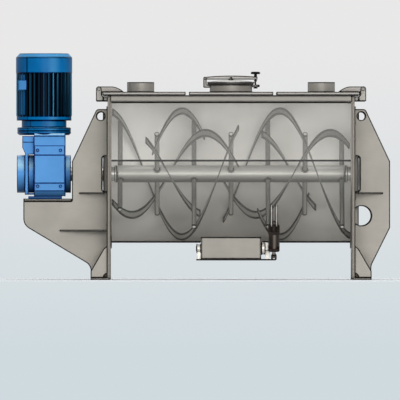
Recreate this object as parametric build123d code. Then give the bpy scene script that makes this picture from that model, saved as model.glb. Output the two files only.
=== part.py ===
from build123d import *
from math import atan, atan2, cos, degrees, pi, radians, sin, sqrt
import os

# Horizontal ribbon mixer with a geared motor, a hinged three-part lid, a clamp hatch
# and a pneumatic discharge flap. Lengths are millimetres, angles are degrees.
# Origin: on the floor under the middle of the trough. +X runs along the shaft, away
# from the motor, +Y to the rear and +Z up. Most heights are measured from the shaft.

# Clearances
running_clearance = 0.05
seat_clearance = 0.3

# Trough
shaft_height = 740.0
trough_length = 1688.0
trough_radius = 472.0
trough_wall = 5.0
rim_above_shaft = 546.0
seam_above_shaft = 92.0
end_flange_width = 45.0
end_flange_thickness = 9.0
end_bolt = 14.0
end_bolt_angles = (20, 45, 70)
end_bolts_above_shaft = (120.0, 240.0, 360.0, 460.0)
rim_rail_width = 45.0
rim_rail_height = 44.0
rim_rail_wall = 5.0
rim_rail_corner = 4.0
gasket_thickness = 3.0
cross_rail_width = 70.0
cross_rail_height = 30.0

# Hexagon bolts: head sizes as shares of the shank's diameter
bolt_head_radius = 0.92
bolt_head_height = 0.6

# End plates and legs
end_plate_thickness = 18.0
end_plate_margin = 3.0
end_plate_corner = 15.0
leg_arch_below_shell = 78.0
leg_arch_top_half = 175.0
leg_arch_bottom_half = 245.0
leg_arch_corner = 30.0
foot_length = 137.0
foot_width = 270.0
foot_thickness = 15.0
foot_corner = 8.0
foot_hole_diameter = 22.0
foot_hole_from_plate = 81.0
foot_hole_from_side = 135.0

# Bracket plates beside the end plates
bracket_inside_shell = 177.0
bracket_thickness = 12.0
bracket_below_rim = 93.0
bracket_top_reach = 78.0
bracket_top_corner = 26.0
bracket_reach = 250.0
bracket_shoulder_above_shaft = 87.0
bracket_shoulder_corner = 8.0
bracket_low_below_shaft = 377.0
bracket_low_corner = 12.0
bracket_foot_height = 100.0
bracket_foot_corner = 70.0
shelf_reach = 590.0
shelf_low_below_shaft = 358.0
shelf_low_corner = 80.0
shelf_thickness = 18.0
lifting_hole_diameter = 56.0
lifting_hole_from_plate = 49.0
lifting_hole_below_top = 49.0
access_slot_depth = 39.0
access_slot_height = 249.0
access_slot_corner = 19.0
hand_hole_depth = 84.0
hand_hole_height = 135.0
hand_hole_from_plate = 35.0
hand_hole_below_shaft = 293.0
rib_thickness = 12.0
rib_width = 195.0
rib_tip = 20.0
upper_rib_share = 0.283  # of the shell radius, below the shaft
upper_rib_reach = 200.0
lower_rib_share = 0.83
lower_rib_reach = 335.0
gusset_from_side = 45.0
gusset_height = 226.0
gusset_shoulder_drop = 23.0
gusset_shoulder_reach = 28.0
gusset_lip = 46.0
stiffener_depth = 32.0
stiffener_half_spacing = 150.0
stiffener_above_bolt = 29.4
stiffener_below_rim = 96.0

# Shaft line
journal_radius = 50.0
tube_radius = 59.5
tube_wall = 12.0
tube_end_gap = 29.0
collar_length = 13.0
plug_length = 60.0
shaft_end_gap = 4.0
drive_shaft_past_gearbox = 40.0
bearing_flange_radius = 112.0
bearing_flange_thickness = 20.0
bearing_hub_radius = 92.0
bearing_hub_length = 14.0
bearing_spigot_radius = 76.0
bearing_edge = 4.0
bush_wall = 12.0
blind_wall = 5.0
bearing_bolt_circle = 102.0
bearing_bolt_count = 8
bearing_bolt_head_radius = 8.5
bearing_bolt_head_height = 8.0

# Arms and ribbons: neighbouring arms stand a quarter turn apart, and so does the ribbon
arm_radius = 16.85
arm_count = 7
end_arm_from_wall = 67.0
arm_end_inset = 2.0
first_arm_angle = 37.0
ribbon_clearance = 6.0
ribbon_thickness = 8.5
outer_ribbon_width = 50.0
inner_ribbon_inside = 259.0
inner_ribbon_width = 56.0
long_ribbon_end = 52.0
ribbon_wall_gap = 14.0
short_outer_ribbon = (-31.0, 333.0)
short_inner_ribbon = (-77.0, 301.0)

# Lids
lid_height = 23.0
lid_sheet = 5.0
lid_overhang = 36.0
lid_side_overhang = 10.0
lid_gap = 24.0
lid_joint = 306.0
spout_from_plate = 229.0
spout_radius = 95.0
spout_wall = 4.0
spout_height = 71.0
lid_pin_radius = 8.0
lid_pin_from_plate = 62.0
lid_pin_above_lid = 19.4
lid_eye_radius = 19.0
lid_hinge_half_spacing = 350.0
lid_arm_thickness = 20.0
lid_arm_reach = 156.0
lid_arm_flat = 77.0
lid_arm_bow = 0.7
hinge_cheek = 10.0
hinge_side_gap = 1.0
hinge_cheek_radius = 20.0
hinge_cheek_length = 103.0
hinge_cheek_slope = 10.0
hinge_pad_length = 31.0
hinge_pad_width = 60.0
hinge_pad_height = 33.0
hinge_web_inset = 5.0
hinge_web_drop = 6.0
pin_overrun = 3.0
pin_collar = 4.0
pin_collar_lip = 3.0

# Hatch
neck_radius = 148.0
neck_wall = 4.0
neck_height = 54.0
neck_flange_radius = 166.0
neck_flange_thickness = 6.0
hatch_gasket_thickness = 5.0
hatch_gasket_inset = 1.0
hatch_rim = 8.0
hatch_dome = 13.0
hatch_dome_inset = 12.0
hatch_recess_inset = 16.0
hatch_recess_depth = 5.0
hatch_ear_half_foot = 19.0
hatch_ear_half_top = 7.0
hatch_ear_above_pin = 4.0
yoke_width = 26.0
yoke_end_height = 20.0
yoke_middle_height = 28.0
yoke_lift = 3.0
yoke_eye_radius = 9.5
yoke_eye_neck = 10.0
yoke_end_overrun = 3.0
hatch_pin_position = 182.0
hatch_pin_radius = 5.0
hatch_pin_below_middle = 2.0
hatch_lug_thickness = 8.0
hatch_lug_radius = 12.0
hatch_lug_drop = 22.0
hatch_lug_corner = 8.0
hatch_collar_lip = 2.5
knob_position = 172.0
knob_radius = 33.0
knob_height = 18.0
knob_rim_inset = 5.0
knob_crown_inset = 7.0
knob_crown_height = 6.0
knob_neck_radius = 11.0
knob_neck_taper = 1.0
knob_neck_height = 17.0
knob_lift = 0.7
knob_seat_margin = 1.5
clamp_bolt_radius = 5.0
clamp_nut = (28.0, 12.0, 9.0)
clamp_nut_gap = 0.5
clamp_lug_gap = 14.0
clamp_lug_thickness = 10.0
clamp_lug_reach = 202.0
clamp_lug_height = 18.0
clamp_boss_radius = 5.0
clamp_boss = 4.0
clamp_flat_gap = 2.0

# Discharge
chute_half_length = 211.0
chute_half_width = 181.0
chute_wall = 6.0
chute_below_shell = 119.0
chute_flange_lip = 32.0
chute_flange_thickness = 10.0
chute_bolt_radius = 6.0
bearing_shelf_length = 68.0
bearing_shelf_front = 5.0
bearing_shelf_rear = 60.0
bearing_shelf_corner = 8.0
opening_edge = 19.0
flap_edge_gap = 2.0
flap_axis_inset = 15.0
flap_axis_below_shell = 45.0
flap_shaft_radius = 17.5
flap_shaft_overrun = 4.0
flap_rib_from_end = 61.0
flap_rib_thickness = 10.0
flap_rib_bite = 1.0
flap_rib_seat = 2.0
flap_rib_depth = 12.0
flap_rib_from_edge = (92.0, 42.0)
flap_rib_back = 10.0
flap_rib_heel = (8.0, 22.0)
flap_hub_radius = 28.0
flap_travel = 45.0
left_bearing_radius = 28.5
right_bearing_radius = 42.0
right_bearing_rounding = 9.0
flap_bearing_length = 30.0
left_post_length = 25.0
left_post_half_width = 13.0
outer_block_length = 17.0
outer_block_bite = 8.0
outer_block_half_width = 20.0
outer_block_drop = 12.0
outer_web_length = 31.0
outer_web = (14.0, 26.0)
outer_web_drop = 15.0

# Discharge cylinder
cylinder_from_chute = 89.0
cylinder_pin_from_shell = 51.9
cylinder_pin_angle = 49.14
lever_length = 65.0
lever_thickness = 12.0
lever_hub_length = 30.0
lever_hub_waist = 0.7
lever_tip_radius = 10.0
lever_tip_step = 0.1
clevis_radius = 22.0
clevis_side_flat = 2.0
clevis_slot = 13.5
clevis_slot_depth = 20.0
clevis_neck_radius = 14.0
clevis_neck_start = 8.0
clevis_neck_length = 34.0
clevis_thread_stop = 4.0
clevis_pin_radius = 5.0
cylinder_radius = 40.0
cylinder_corner = 16.0
cylinder_step = 2.0
cylinder_wall = 5.0
cylinder_cap = 28.0
rod_exposed = 88.0
rod_radius = 10.0
piston_length = 22.0
piston_end_gap = 8.0
rear_eye_radius = 19.0
rear_eye_width = 19.0
rear_eye_shoulder = 32.0
rear_clevis_length = 47.0
cylinder_pin_radius = 8.0
bracket_cheek = 16.0
bracket_cheek_gap = 0.5
bracket_cheek_radius = 22.0
bracket_cheek_rise = 128.0
bracket_cheek_top = (35.0, 20.0)
bracket_cheek_front_waist = (30.0, 70.0)
bracket_cheek_rear_waist = (70.0, 36.0)
bracket_cheek_foot_inset = 1.0
bracket_cheek_corner = 8.0
cylinder_pin_overrun = 3.0

# Gearbox
gearbox_from_plate = 298.0
gearbox_length = 219.0
gearbox_half_depth = 195.0
gearbox_below_shaft = 156.0
gearbox_above_shaft = 285.0
gearbox_bevel = 36.0
gearbox_top_bevel = (10.0, 14.0)
gearbox_foot_height = 17.0
gearbox_foot_reach = 40.0
gearbox_foot_inset = 25.0
gearbox_foot_side_inset = 30.0
bulge_reach = 82.0
bulge_side_inset = 45.0
bulge_top_drop = 20.0
bulge_low_drop = 100.0
bulge_slope = 22.0
flange_rib_from_end = 18.0
flange_rib = 24.0
flange_rib_rise = 4.0
flange_rib_foot = 10.0
flange_rib_corner = 8.0
flange_web_inset = 10.0
flange_web_gap = 2.0
register_depth = 13.0
cover_disc_radius = 132.0
cover_disc_length = 38.0
cover_hub_radius = 110.0
cover_plate_inset = 3.0
cover_plate_drop = 86.0
cover_plate_proud = 4.0
cover_panel_low = 92.0
cover_panel_drop = 154.0
cover_panel_proud = 8.0
cover_screw_radius = 12.0
cover_screw_head = 7.0
cover_screw_socket = 6.0
cover_screws_from_left = 26.0
cover_screws_from_right = 33.0
cover_screws_from_bottom = 70.0
cover_screws_from_top = 120.0
sleeve_wall = 15.0
sleeve_left_reach = 116.0
sleeve_right_reach = 36.0

# Motor
motor_from_gearbox = 149.7
adapter_radius = 188.0
adapter_height = 54.0
adapter_chamfer = (14.0, 12.0)
adapter_groove = (26.0, 4.0, 6.0)
adapter_top_bevel = 6.0
adapter_bore_wall = 16.0
neck_ring_radius = 157.0
neck_ring_height = 48.0
motor_flange_radius = 192.0
motor_flange_height = 31.0
motor_body_height = 300.0
fin_root_radius = 162.0
fin_tip_radius = 195.0
fin_thickness = 7.0
fin_root_bite = 2.0
fin_count = 36
pad_from_axis = (182.0, 124.0)
pad_front = 138.0
pad_depth = 58.0
pad_below_top = (120.0, 50.0)
stator_bore = 112.0
stator_end_wall = 14.0
stator_floor = 10.0
fan_cover_radius = 197.0
fan_cover_height = 139.0
fan_cover_bevel = 28.0
fan_cover_flat_step = 2.0
fan_cover_wall = 3.0
fan_slot_width = 10.0
fan_slot_count = 6
fan_slot_first = 40.0
fan_slot_pitch = 20.0
fan_slot_bridge = 12.0
rotor_radius = 108.0
rotor_length = 180.0
motor_shaft_radius = 24.0
motor_shaft_low = 20.0
motor_shaft_high = 80.0
fan_radius = 150.0
fan_blades = 7
fan_lift = 22.0
fan_height = 50.0
fan_hub_radius = 48.0
fan_disc_inset = 8.0
fan_blade_start = 40.0
fan_sheet = 5.0
seam_angle = 37.0
seam_groove = (5.0, 2.5)
box_above_body = 70.0
box_side = 150.0
box_depth = 100.0
box_corner = 12.0
box_lid_lip = 4.0
box_lid_thickness = 14.0
box_lid_corner = 14.0
gland_radius = 17.0
gland_length = 28.0
gland_nut_radius = 21.0
gland_nut_height = 10.0

# Worked-out places
half_length = trough_length / 2
plate_outside = half_length + end_plate_thickness
shell_radius = trough_radius + trough_wall
shell_bottom = shaft_height - shell_radius
flange_radius = shell_radius + end_flange_width
end_plate_half_width = flange_radius + end_plate_margin
end_bolt_radius = shell_radius + end_flange_width / 2
bracket_half_spacing = shell_radius - bracket_inside_shell
upper_rib_height = shaft_height - upper_rib_share * shell_radius
lower_rib_height = shaft_height - lower_rib_share * shell_radius
lowest_bolt_height = shaft_height - end_bolt_radius * cos(radians(end_bolt_angles[0]))
leg_arch_height = shell_bottom - leg_arch_below_shell
trough_top = shaft_height + rim_above_shaft
seam_height = shaft_height + seam_above_shaft
bracket_top = trough_top - bracket_below_rim
lid_bottom = trough_top + gasket_thickness
lid_top = lid_bottom + lid_height
rail_outside = shell_radius + rim_rail_width
spout_position = plate_outside - spout_from_plate
arm_pitch = (trough_length - 2 * end_arm_from_wall) / (arm_count - 1)
ribbon_pitch = 4 * arm_pitch
ribbon_radius = trough_radius - ribbon_clearance
chute_bottom = shell_bottom - chute_below_shell
opening_half_width = chute_half_width - opening_edge
flap_axis = (flap_axis_inset - opening_half_width, shell_bottom - flap_axis_below_shell)
cylinder_position = chute_half_length + cylinder_from_chute
cylinder_pin_reach = shell_radius + cylinder_pin_from_shell
cylinder_pin = (
    -cylinder_pin_reach * sin(radians(cylinder_pin_angle)),
    shaft_height - cylinder_pin_reach * cos(radians(cylinder_pin_angle)),
)
cylinder_bore = cylinder_radius - cylinder_step - cylinder_wall
gearbox_bottom = shaft_height - gearbox_below_shaft
gearbox_top = shaft_height + gearbox_above_shaft
gearbox_right = -(plate_outside + gearbox_from_plate)
gearbox_left = gearbox_right - gearbox_length
motor_x = gearbox_right - motor_from_gearbox
bulge_left = gearbox_left - bulge_reach
flange_rib_left = bulge_left + flange_rib_from_end
flange_rib_right = flange_rib_left + flange_rib
shelf_top = gearbox_bottom - gearbox_foot_height
adapter_bottom = gearbox_top - register_depth
motor_flange_bottom = adapter_bottom + adapter_height + neck_ring_height
motor_body_bottom = motor_flange_bottom + motor_flange_height
motor_body_top = motor_body_bottom + motor_body_height
neck_top = lid_top + neck_height
hatch_bottom = neck_top + neck_flange_thickness + hatch_gasket_thickness
yoke_bottom = hatch_bottom + hatch_rim + hatch_dome + yoke_lift
hatch_pin_height = yoke_bottom + yoke_end_height / 2 - hatch_pin_below_middle

os.makedirs("parts", exist_ok=True)


def write(name, shape):
    """Saves one sub-part, which may be a group of separate solids."""
    solids = shape.solids() if hasattr(shape, "solids") else [s for p in shape for s in p.solids()]
    result = solids[0] if len(solids) == 1 else Compound(children=list(solids))
    export_step(result, f"parts/{name}.step")


def block(x, y, z):
    """A box between pairs of coordinates."""
    middle = ((x[0] + x[1]) / 2, (y[0] + y[1]) / 2, (z[0] + z[1]) / 2)
    return Pos(*middle) * Box(abs(x[1] - x[0]), abs(y[1] - y[0]), abs(z[1] - z[0]))


def along_x(sketch, start, end):
    """Extrudes a sketch drawn in (Y, Z) between two X places."""
    plane = Plane(origin=(start, 0, 0), x_dir=(0, 1, 0), z_dir=(1, 0, 0))
    return extrude(plane * sketch, end - start, dir=(1, 0, 0))


def along_y(sketch, start, end):
    """Extrudes a sketch drawn in (X, Z) between two Y places."""
    plane = Plane(origin=(0, start, 0), x_dir=(1, 0, 0), z_dir=(0, -1, 0))
    return extrude(plane * sketch, end - start, dir=(0, 1, 0))


def along_z(sketch, start, end):
    """Extrudes a sketch drawn in (X, Y) between two Z places."""
    return extrude(Pos(0, 0, start) * sketch, end - start, dir=(0, 0, 1))


def disc(radius, middle=(0, 0)):
    return Pos(middle[0], middle[1]) * Circle(radius)


def ring(outside, inside, middle=(0, 0)):
    return disc(outside, middle) - disc(inside, middle)


def outline(*corners):
    """A closed outline; each corner is (u, v) or (u, v, rounding radius).

    The corners are put in anticlockwise order, so that outlines join with discs and rings."""
    pairs = zip(corners, corners[1:] + corners[:1])
    if sum(one[0] * two[1] - two[0] * one[1] for one, two in pairs) < 0:
        corners = corners[::-1]
    face = Polygon(*[corner[:2] for corner in corners], align=None)
    for corner in corners:
        if len(corner) == 3:
            face = fillet(face.vertices().sort_by_distance((corner[0], corner[1], 0))[0], corner[2])
    return face


def mirrored(shape):
    """The same solid at the other end of the mixer."""
    return mirror(shape, Plane.YZ)


def front_and_rear(shape):
    return [shape, mirror(shape, Plane.XZ)]


def polar(radius, angle):
    """A point of the shaft's cross-section, turned from up towards the rear."""
    return (radius * sin(radians(angle)), shaft_height + radius * cos(radians(angle)))


def hexagon_bolt(size, head_side, place, grip):
    """A hexagon bolt along X: its head stands on the face at place, towards head_side."""
    x, y, z = place
    hexagon = Pos(y, z) * RegularPolygon(size * bolt_head_radius, 6)
    head = along_x(hexagon, x, x + head_side * size * bolt_head_height)
    shank = along_x(disc(size / 2, (y, z)), x, x - head_side * grip)
    return head + shank


# Frame


def end_plate():
    """Right end plate: a flat plate with an arch between its two legs and the shaft hole."""
    face = outline(
        (-end_plate_half_width, foot_thickness),
        (-leg_arch_bottom_half, foot_thickness),
        (-leg_arch_top_half, leg_arch_height, leg_arch_corner),
        (leg_arch_top_half, leg_arch_height, leg_arch_corner),
        (leg_arch_bottom_half, foot_thickness),
        (end_plate_half_width, foot_thickness),
        (end_plate_half_width, trough_top, end_plate_corner),
        (-end_plate_half_width, trough_top, end_plate_corner),
    )
    face -= disc(bearing_spigot_radius + seat_clearance, (0, shaft_height))
    for place in end_bolt_places():
        face -= disc(end_bolt / 2, place)
    return along_x(face, half_length, plate_outside)


def bracket_plate(with_shelf):
    """Bracket plate, drawn at the right end; the left ones carry the gearbox shelf too."""
    inner = plate_outside
    reach = inner + bracket_reach
    foot = inner - end_plate_thickness + foot_length
    corners = [
        (inner, foot_thickness),
        (foot, foot_thickness),
        (foot, bracket_foot_height, bracket_foot_corner),
    ]
    if with_shelf:
        outer = inner + shelf_reach
        corners += [
            (outer, shaft_height - shelf_low_below_shaft, shelf_low_corner),
            (outer, shelf_top - shelf_thickness),
            (reach, shelf_top - shelf_thickness),
        ]
    else:
        corners += [(reach, shaft_height - bracket_low_below_shaft, bracket_low_corner)]
    corners += [
        (reach, shaft_height + bracket_shoulder_above_shaft, bracket_shoulder_corner),
        (inner + bracket_top_reach, bracket_top, bracket_top_corner),
        (inner, bracket_top),
    ]
    face = outline(*corners)
    lifting_hole = (inner + lifting_hole_from_plate, bracket_top - lifting_hole_below_top)
    face -= disc(lifting_hole_diameter / 2, lifting_hole)
    slot_end = inner + access_slot_depth
    slot_low = shaft_height - access_slot_height / 2
    slot_high = shaft_height + access_slot_height / 2
    face -= outline(
        (inner - 1, slot_low),
        (slot_end, slot_low, access_slot_corner),
        (slot_end, slot_high, access_slot_corner),
        (inner - 1, slot_high),
    )
    if not with_shelf:
        flat = inner + hand_hole_from_plate
        middle = shaft_height - hand_hole_below_shaft
        half = hand_hole_height / 2
        straight = flat + hand_hole_depth - half
        face -= outline(
            (flat, middle - half),
            (straight, middle - half),
            (straight, middle + half),
            (flat, middle + half),
        ) + disc(half, (straight, middle))
    near = bracket_half_spacing - bracket_thickness / 2
    return along_y(face, near, near + bracket_thickness)


def bracket_ribs(reaches):
    """Horizontal ribs outside the bracket plates, a cross plate between them, and foot gussets."""
    inner = plate_outside
    near = bracket_half_spacing + bracket_thickness / 2
    pieces = []
    for height, reach in reaches:
        low = height - rib_thickness / 2
        rib = along_z(
            outline(
                (inner, near),
                (inner + reach, near),
                (inner + reach, near + rib_tip),
                (inner + gusset_shoulder_reach, near + rib_width),
                (inner, near + rib_width),
            ),
            low,
            low + rib_thickness,
        )
        pieces += front_and_rear(rib)
        half = bracket_half_spacing - bracket_thickness / 2
        pieces.append(block((inner, inner + reach), (-half, half), (low, low + rib_thickness)))
    foot = inner - end_plate_thickness + foot_length
    top = foot_thickness + gusset_height
    middle = end_plate_half_width - gusset_from_side
    gusset = along_y(
        outline(
            (inner + gusset_shoulder_reach, foot_thickness),
            (foot, foot_thickness),
            (foot, foot_thickness + gusset_lip),
            (inner + gusset_shoulder_reach, top - gusset_shoulder_drop),
            (inner, top),
            (inner, foot_thickness + gusset_shoulder_reach),
        )
        - disc(gusset_shoulder_reach, (inner, foot_thickness)),
        middle - rib_thickness / 2,
        middle + rib_thickness / 2,
    )
    return pieces + front_and_rear(gusset)


def foot_plate():
    low = plate_outside - end_plate_thickness
    middle = (low + foot_length / 2, end_plate_half_width - foot_width / 2)
    hole = (low + foot_hole_from_plate, end_plate_half_width - foot_hole_from_side)
    face = Pos(*middle) * RectangleRounded(foot_length, foot_width, foot_corner)
    face -= disc(foot_hole_diameter / 2, hole)
    return along_z(face, 0, foot_thickness)


def stiffeners(ribs):
    """Vertical flats on the outside of an end plate, cut where the cross plates pass."""
    pieces = []
    half = rib_thickness / 2
    high = trough_top - stiffener_below_rim
    for height, _ in ribs + ((lowest_bolt_height + stiffener_above_bolt, 0),):
        flat = block(
            (plate_outside, plate_outside + stiffener_depth),
            (stiffener_half_spacing, stiffener_half_spacing + rib_thickness),
            (height + half, high),
        )
        pieces += front_and_rear(flat)
        high = height - half
    return pieces


def gearbox_shelf():
    left = -(plate_outside + shelf_reach)
    right = -(plate_outside + bracket_reach)
    half = bracket_half_spacing + bracket_thickness / 2
    return block((left, right), (-half, half), (shelf_top - shelf_thickness, shelf_top))


def end_bolt_places():
    """Bolt places in (Y, Z) round the U-shaped end flange."""
    places = [polar(end_bolt_radius, 180 + side * angle) for angle in end_bolt_angles for side in (-1, 1)]
    for height in end_bolts_above_shaft:
        places += [(side * end_bolt_radius, shaft_height + height) for side in (-1, 1)]
    return places


def end_plate_bolts():
    grip = end_plate_thickness + end_flange_thickness
    bolts = []
    for y, z in end_bolt_places():
        bolt = hexagon_bolt(end_bolt - 2 * seat_clearance, 1, (plate_outside, y, z), grip)
        bolts += [bolt, mirrored(bolt)]
    return bolts


def bearing_bolts():
    bolts = []
    flange = plate_outside + bearing_flange_thickness
    for index in range(bearing_bolt_count):
        y, z = polar(bearing_bolt_circle, 360 * (index + 0.5) / bearing_bolt_count)
        hexagon = Pos(y, z) * RegularPolygon(bearing_bolt_head_radius, 6)
        head = along_x(hexagon, flange, flange + bearing_bolt_head_height)
        bolts += [head, mirrored(head)]
    return bolts


right_ribs = ((upper_rib_height, upper_rib_reach),)
left_ribs = right_ribs + ((lower_rib_height, lower_rib_reach),)
write("right_end_plate", end_plate())
write("left_end_plate", mirrored(end_plate()))
write("right_bracket_plates", front_and_rear(bracket_plate(False)))
write("left_bracket_plates", [mirrored(p) for p in front_and_rear(bracket_plate(True))])
left_stiffening = bracket_ribs(left_ribs) + stiffeners(left_ribs)
right_stiffening = bracket_ribs(right_ribs) + stiffeners(right_ribs)
write("bracket_ribs", right_stiffening + [mirrored(p) for p in left_stiffening])
feet = front_and_rear(foot_plate())
write("foot_plates", feet + [mirrored(p) for p in feet])
write("gearbox_shelf", gearbox_shelf())
write("end_plate_bolts", end_plate_bolts() + bearing_bolts())


# Trough


def trough_shell(side):
    """Half of the U-shaped shell, from the bottom middle to the rim, on one side in Y."""
    upper = outline(
        (side * trough_radius, shaft_height),
        (side * shell_radius, shaft_height),
        (side * shell_radius, trough_top),
        (side * trough_radius, trough_top),
    )
    quarter = ring(shell_radius, trough_radius, (0, shaft_height)) & outline(
        (0, shaft_height),
        (side * 2 * shell_radius, shaft_height),
        (side * 2 * shell_radius, 0),
        (0, 0),
    )
    return along_x(quarter + upper, -half_length, half_length)


def shell_opening():
    inner = chute_half_length - chute_wall
    return block((-inner, inner), (-opening_half_width, opening_half_width), (0, shaft_height / 2))


def split_at(solid, height, keep_low):
    cut = block(
        (-2 * half_length, 2 * half_length),
        (-2 * shell_radius, 2 * shell_radius),
        (height, 2 * trough_top) if keep_low else (0, height),
    )
    return solid - cut


def end_flange():
    """U-shaped flange round the end of the shell, with its bolt holes."""
    face = ring(flange_radius, shell_radius, (0, shaft_height)) & outline(
        (-2 * shell_radius, shaft_height),
        (2 * shell_radius, shaft_height),
        (2 * shell_radius, 0),
        (-2 * shell_radius, 0),
    )
    top = trough_top - rim_rail_height
    for side in (-1, 1):
        face += outline(
            (side * shell_radius, shaft_height),
            (side * flange_radius, shaft_height),
            (side * flange_radius, top),
            (side * shell_radius, top),
        )
    for place in end_bolt_places():
        face -= disc(end_bolt / 2, place)
    return along_x(face, half_length - end_flange_thickness, half_length)


def rim_rail():
    """Rear box rail along the top edge of the shell."""
    middle = ((shell_radius + rail_outside) / 2, trough_top - rim_rail_height / 2)
    section = Pos(*middle) * (
        RectangleRounded(rim_rail_width, rim_rail_height, rim_rail_corner)
        - Rectangle(rim_rail_width - 2 * rim_rail_wall, rim_rail_height - 2 * rim_rail_wall)
    )
    return along_x(section, -half_length, half_length)


def rim_gasket():
    """Flat seal on the rim: along both rails, across the end plates and the cross rails."""
    outer = Rectangle(2 * plate_outside, 2 * rail_outside)
    seal = outer - Rectangle(2 * half_length, 2 * trough_radius)
    for side in (-1, 1):
        seal += Pos(side * lid_joint, 0) * Rectangle(cross_rail_width, 2 * trough_radius + 1)
    return along_z(seal, trough_top, lid_bottom)


def cross_rail():
    """Channel across the trough under a joint between two lids, open downwards."""
    wall = rim_rail_wall
    section = outline(
        (lid_joint - cross_rail_width / 2, trough_top - cross_rail_height),
        (lid_joint - cross_rail_width / 2, trough_top),
        (lid_joint + cross_rail_width / 2, trough_top),
        (lid_joint + cross_rail_width / 2, trough_top - cross_rail_height),
        (lid_joint + cross_rail_width / 2 - wall, trough_top - cross_rail_height),
        (lid_joint + cross_rail_width / 2 - wall, trough_top - wall),
        (lid_joint - cross_rail_width / 2 + wall, trough_top - wall),
        (lid_joint - cross_rail_width / 2 + wall, trough_top - cross_rail_height),
    )
    return along_y(section, -trough_radius, trough_radius)


write("trough_rear_shell", trough_shell(1) - shell_opening())
front_shell = trough_shell(-1) - shell_opening()
write("trough_front_lower", split_at(front_shell, seam_height, True))
write("trough_front_upper", split_at(front_shell, seam_height, False))
write("trough_end_flanges", [end_flange(), mirrored(end_flange())])
write("rim_rails", front_and_rear(rim_rail()))
write("rim_gasket", rim_gasket())
write("lid_cross_rails", [cross_rail(), mirrored(cross_rail())])


# Shaft line


def turned(profile, start=0.0):
    """Turns a profile of (X, radius) points round the shaft axis."""
    plane = Plane(origin=(start, 0, shaft_height), x_dir=(1, 0, 0), z_dir=(0, -1, 0))
    return revolve(plane * Polygon(*profile, align=None), Axis((0, 0, shaft_height), (1, 0, 0)), 360)


def bearing_housing(blind):
    """Flanged housing at the right end: flange and hub outside, spigot through the end plate."""
    inner = half_length
    flange = plate_outside + bearing_flange_thickness
    hub = flange + bearing_hub_length
    bore = journal_radius + bush_wall
    edge = bearing_edge
    profile = [
        (inner, bore),
        (inner, bearing_spigot_radius),
        (plate_outside, bearing_spigot_radius),
        (plate_outside, bearing_flange_radius),
        (flange - edge, bearing_flange_radius),
        (flange, bearing_flange_radius - edge),
        (flange, bearing_hub_radius),
        (hub - edge, bearing_hub_radius),
        (hub, bearing_hub_radius - edge),
    ]
    if blind:
        profile += [(hub, 0), (hub - blind_wall, 0), (hub - blind_wall, bore)]
    else:
        profile += [(hub, bore)]
    return turned(profile)


def liner(start, end):
    """Bush or seal ring inside the housing, running on the journal."""
    inside = journal_radius + running_clearance
    outside = journal_radius + bush_wall
    return turned([(start, inside), (start, outside), (end, outside), (end, inside)])


bush_end = plate_outside + bearing_flange_thickness + bearing_hub_length - blind_wall
write("right_bearing_housing", bearing_housing(True))
write("left_bearing_housing", mirrored(bearing_housing(False)))
bush = liner(plate_outside, bush_end)
seal = liner(half_length, plate_outside)
write("bearing_bushes", [bush, mirrored(bush)])
write("shaft_seals", [seal, mirrored(seal)])


def stub_shaft(end):
    """End shaft: plug inside the tube, collar against the tube's end and journal outside."""
    tube_end = half_length - tube_end_gap - collar_length
    plug = tube_radius - tube_wall - running_clearance
    shaft = turned(
        [
            (tube_end - plug_length, 0),
            (tube_end - plug_length, plug),
            (tube_end, plug),
            (tube_end, tube_radius),
            (tube_end + collar_length, tube_radius),
            (tube_end + collar_length, journal_radius),
            (end, journal_radius),
            (end, 0),
        ]
    )
    return shaft - arm_rod(arm_count - 1, arm_radius + seat_clearance)


def arm_angle(index):
    """Direction of an arm; each is a quarter turn further than the last."""
    return first_arm_angle + 90 * (index % 2)


def arm_place(index):
    return (index - (arm_count - 1) / 2) * arm_pitch


def arm_reaches(index):
    """How far the two ends of an arm reach from the shaft axis."""
    long = ribbon_radius - arm_end_inset
    short = inner_ribbon_inside + inner_ribbon_width - arm_end_inset
    if index == 0:
        return long, short
    if index == arm_count - 1:
        return short, long
    return long, long


def arm_rod(index, radius):
    ahead, behind = arm_reaches(index)
    rod = Pos(0, 0, (ahead - behind) / 2) * Cylinder(radius, ahead + behind)
    return Pos(arm_place(index), 0, shaft_height) * Rot(-arm_angle(index), 0, 0) * rod


def shaft_tube():
    """The central tube, with holes where the arms pass through."""
    end = half_length - tube_end_gap - collar_length
    inside = tube_radius - tube_wall
    tube = turned([(-end, inside), (-end, tube_radius), (end, tube_radius), (end, inside)])
    for index in range(arm_count):
        tube -= arm_rod(index, arm_radius + seat_clearance)
    return tube


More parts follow.
